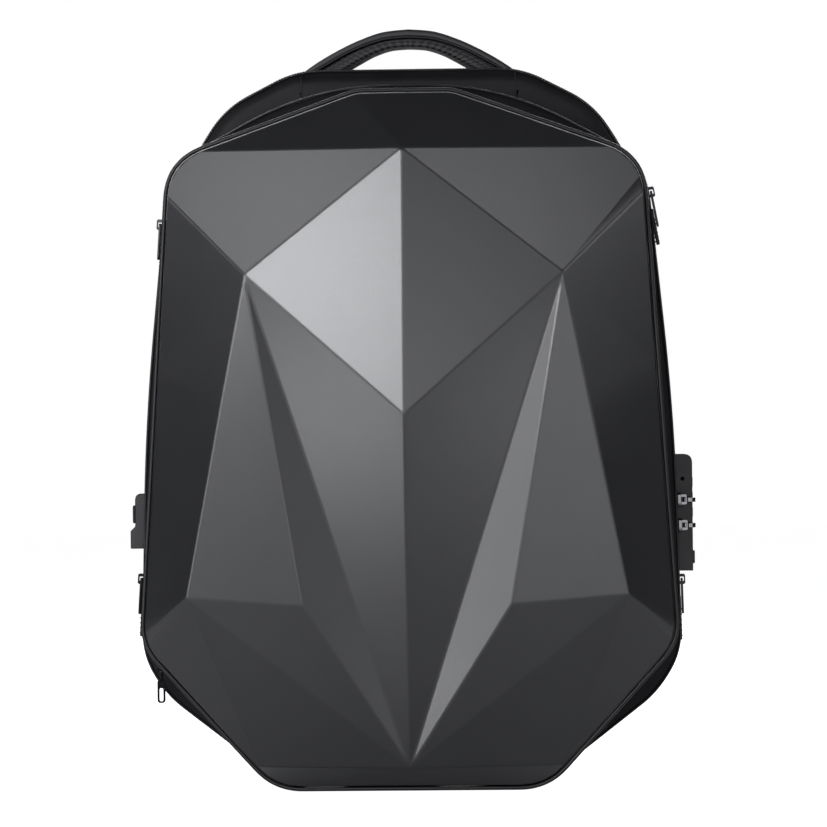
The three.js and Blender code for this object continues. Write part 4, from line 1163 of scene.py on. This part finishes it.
# Shoulder strap's binding and webbing, laid on the swollen strap: each from the strap's own edges and crown
strap = {"step": 9 * mm, "footIn": 4 * mm, "topIn": 5 * mm, "crown": 9 * mm, "edge": 1.3 * mm,
         "edgeIn": 0.9 * mm, "webWidth": 25 * mm, "webThick": 1.2 * mm, "webFrom": 1, "webTo": 0.72,
         "barOut": 1.1 * mm, "barHalf": 2 * mm, "slotDown": 4.4 * mm, "holdUp": 4 * mm}


def strapLines(soft):
    spots = [vertex.co for vertex in soft.data.vertices]
    foot, top = min(p.z for p in spots) + strap["footIn"], max(p.z for p in spots) - strap["topIn"]
    count = int((top - foot) / strap["step"])
    left, right, crown = [], [], []
    for k in range(count + 1):
        z = foot + (top - foot) * k / count
        near = [p for p in spots if abs(p.z - z) < strap["step"] * 0.6]
        low, high = min(near, key=lambda p: p.x), max(near, key=lambda p: p.x)
        middle = (low.x + high.x) / 2
        left.append(Vector((low.x + strap["edgeIn"], low.y, z)))
        right.append(Vector((high.x - strap["edgeIn"], high.y, z)))
        crown.append(Vector((middle, max(p.y for p in near if abs(p.x - middle) < strap["crown"]), z)))
    lines = []
    for line in (left, right, crown):
        for _ in range(3):
            inner = [(a + 2 * b + c) / 4 for a, b, c in zip(line, line[1:], line[2:])]
            line = [line[0]] + inner + [line[-1]]
        lines.append(line)
    return lines


# A face of zero keeps the ribbon level from side to side
def ribbonAlong(name, run, face):
    def spot(u, v):
        here, ahead = (Vector(through(run, min(1.0, max(0.0, t)))) for t in (u - 0.01, u + 0.01))
        across = face.cross(ahead - here).normalized() if face.length else Vector((1, 0, 0))
        return (here + ahead) / 2 + across * (v - 0.5) * strap["webWidth"]
    ribbon = wrapGrid(name, 60, 6, spot, (lengthOf(run), strap["webWidth"]))
    finishWith(ribbon, "SOLIDIFY", thickness=strap["webThick"], offset=0)
    smoothShade(ribbon, 40)
    return ribbon


def makeStrapTrim(soft, word):
    left, right, crown = strapLines(soft)
    edges = [tubeAlong("binding", line, strap["edge"]) for line in (left, right)]
    place(joinAs(f"strap_{word}_binding", edges), "root", "piping")
    run = crown[strap["webFrom"]:int(len(crown) * strap["webTo"])]

    lift = Vector((0, strap["webThick"] / 2, 0))
    web = ribbonAlong("webbing", [point + lift for point in run], Vector((0, 1, 0)))

    low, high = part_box("ladder_lock_" + word)
    x, y, bar = (low.x + high.x) / 2, (low.y + high.y) / 2, (high.y - low.y) / 2 + strap["barOut"]
    hold = Vector((x, left[1].lerp(right[1], 0.5).y, left[1].z + strap["holdUp"]))
    above, below = high.z + strap["barHalf"], high.z - strap["barHalf"]
    turns = [(y + bar, above), (y + bar, below), (y, high.z - strap["slotDown"]), (y - bar, below),
             (y - bar, above)]
    loop = [hold, *(Vector((x, *turn)) for turn in turns), hold - Vector((0, strap["barHalf"], 0))]
    tab = ribbonAlong("tab", loop, Vector((0, 0, 0)))
    place(joinAs(f"strap_{word}_webbing", [web, tab]), "root", "webbing")


def makePads():
    for node in ("back_pad_left", "back_pad_right", "lumbar_pad", "shoulder_strap_right",
                 "shoulder_strap_left"):
        soft = swell(node)
        if node in channels:
            pressChannels(soft, node)
        place(soft, "root", "air_mesh", node)
        if node in channels:
            padEdge(node + "_edge", soft)
        else:
            makeStrapTrim(soft, node.split("_")[-1])


makePads()
for side in ("left", "right"):
    finishFlat("lower_webbing_" + side, f"webbing_{side}_strip", "webbing", 0.4 * mm, 2, 40)
print("pads, straps and webbing made")
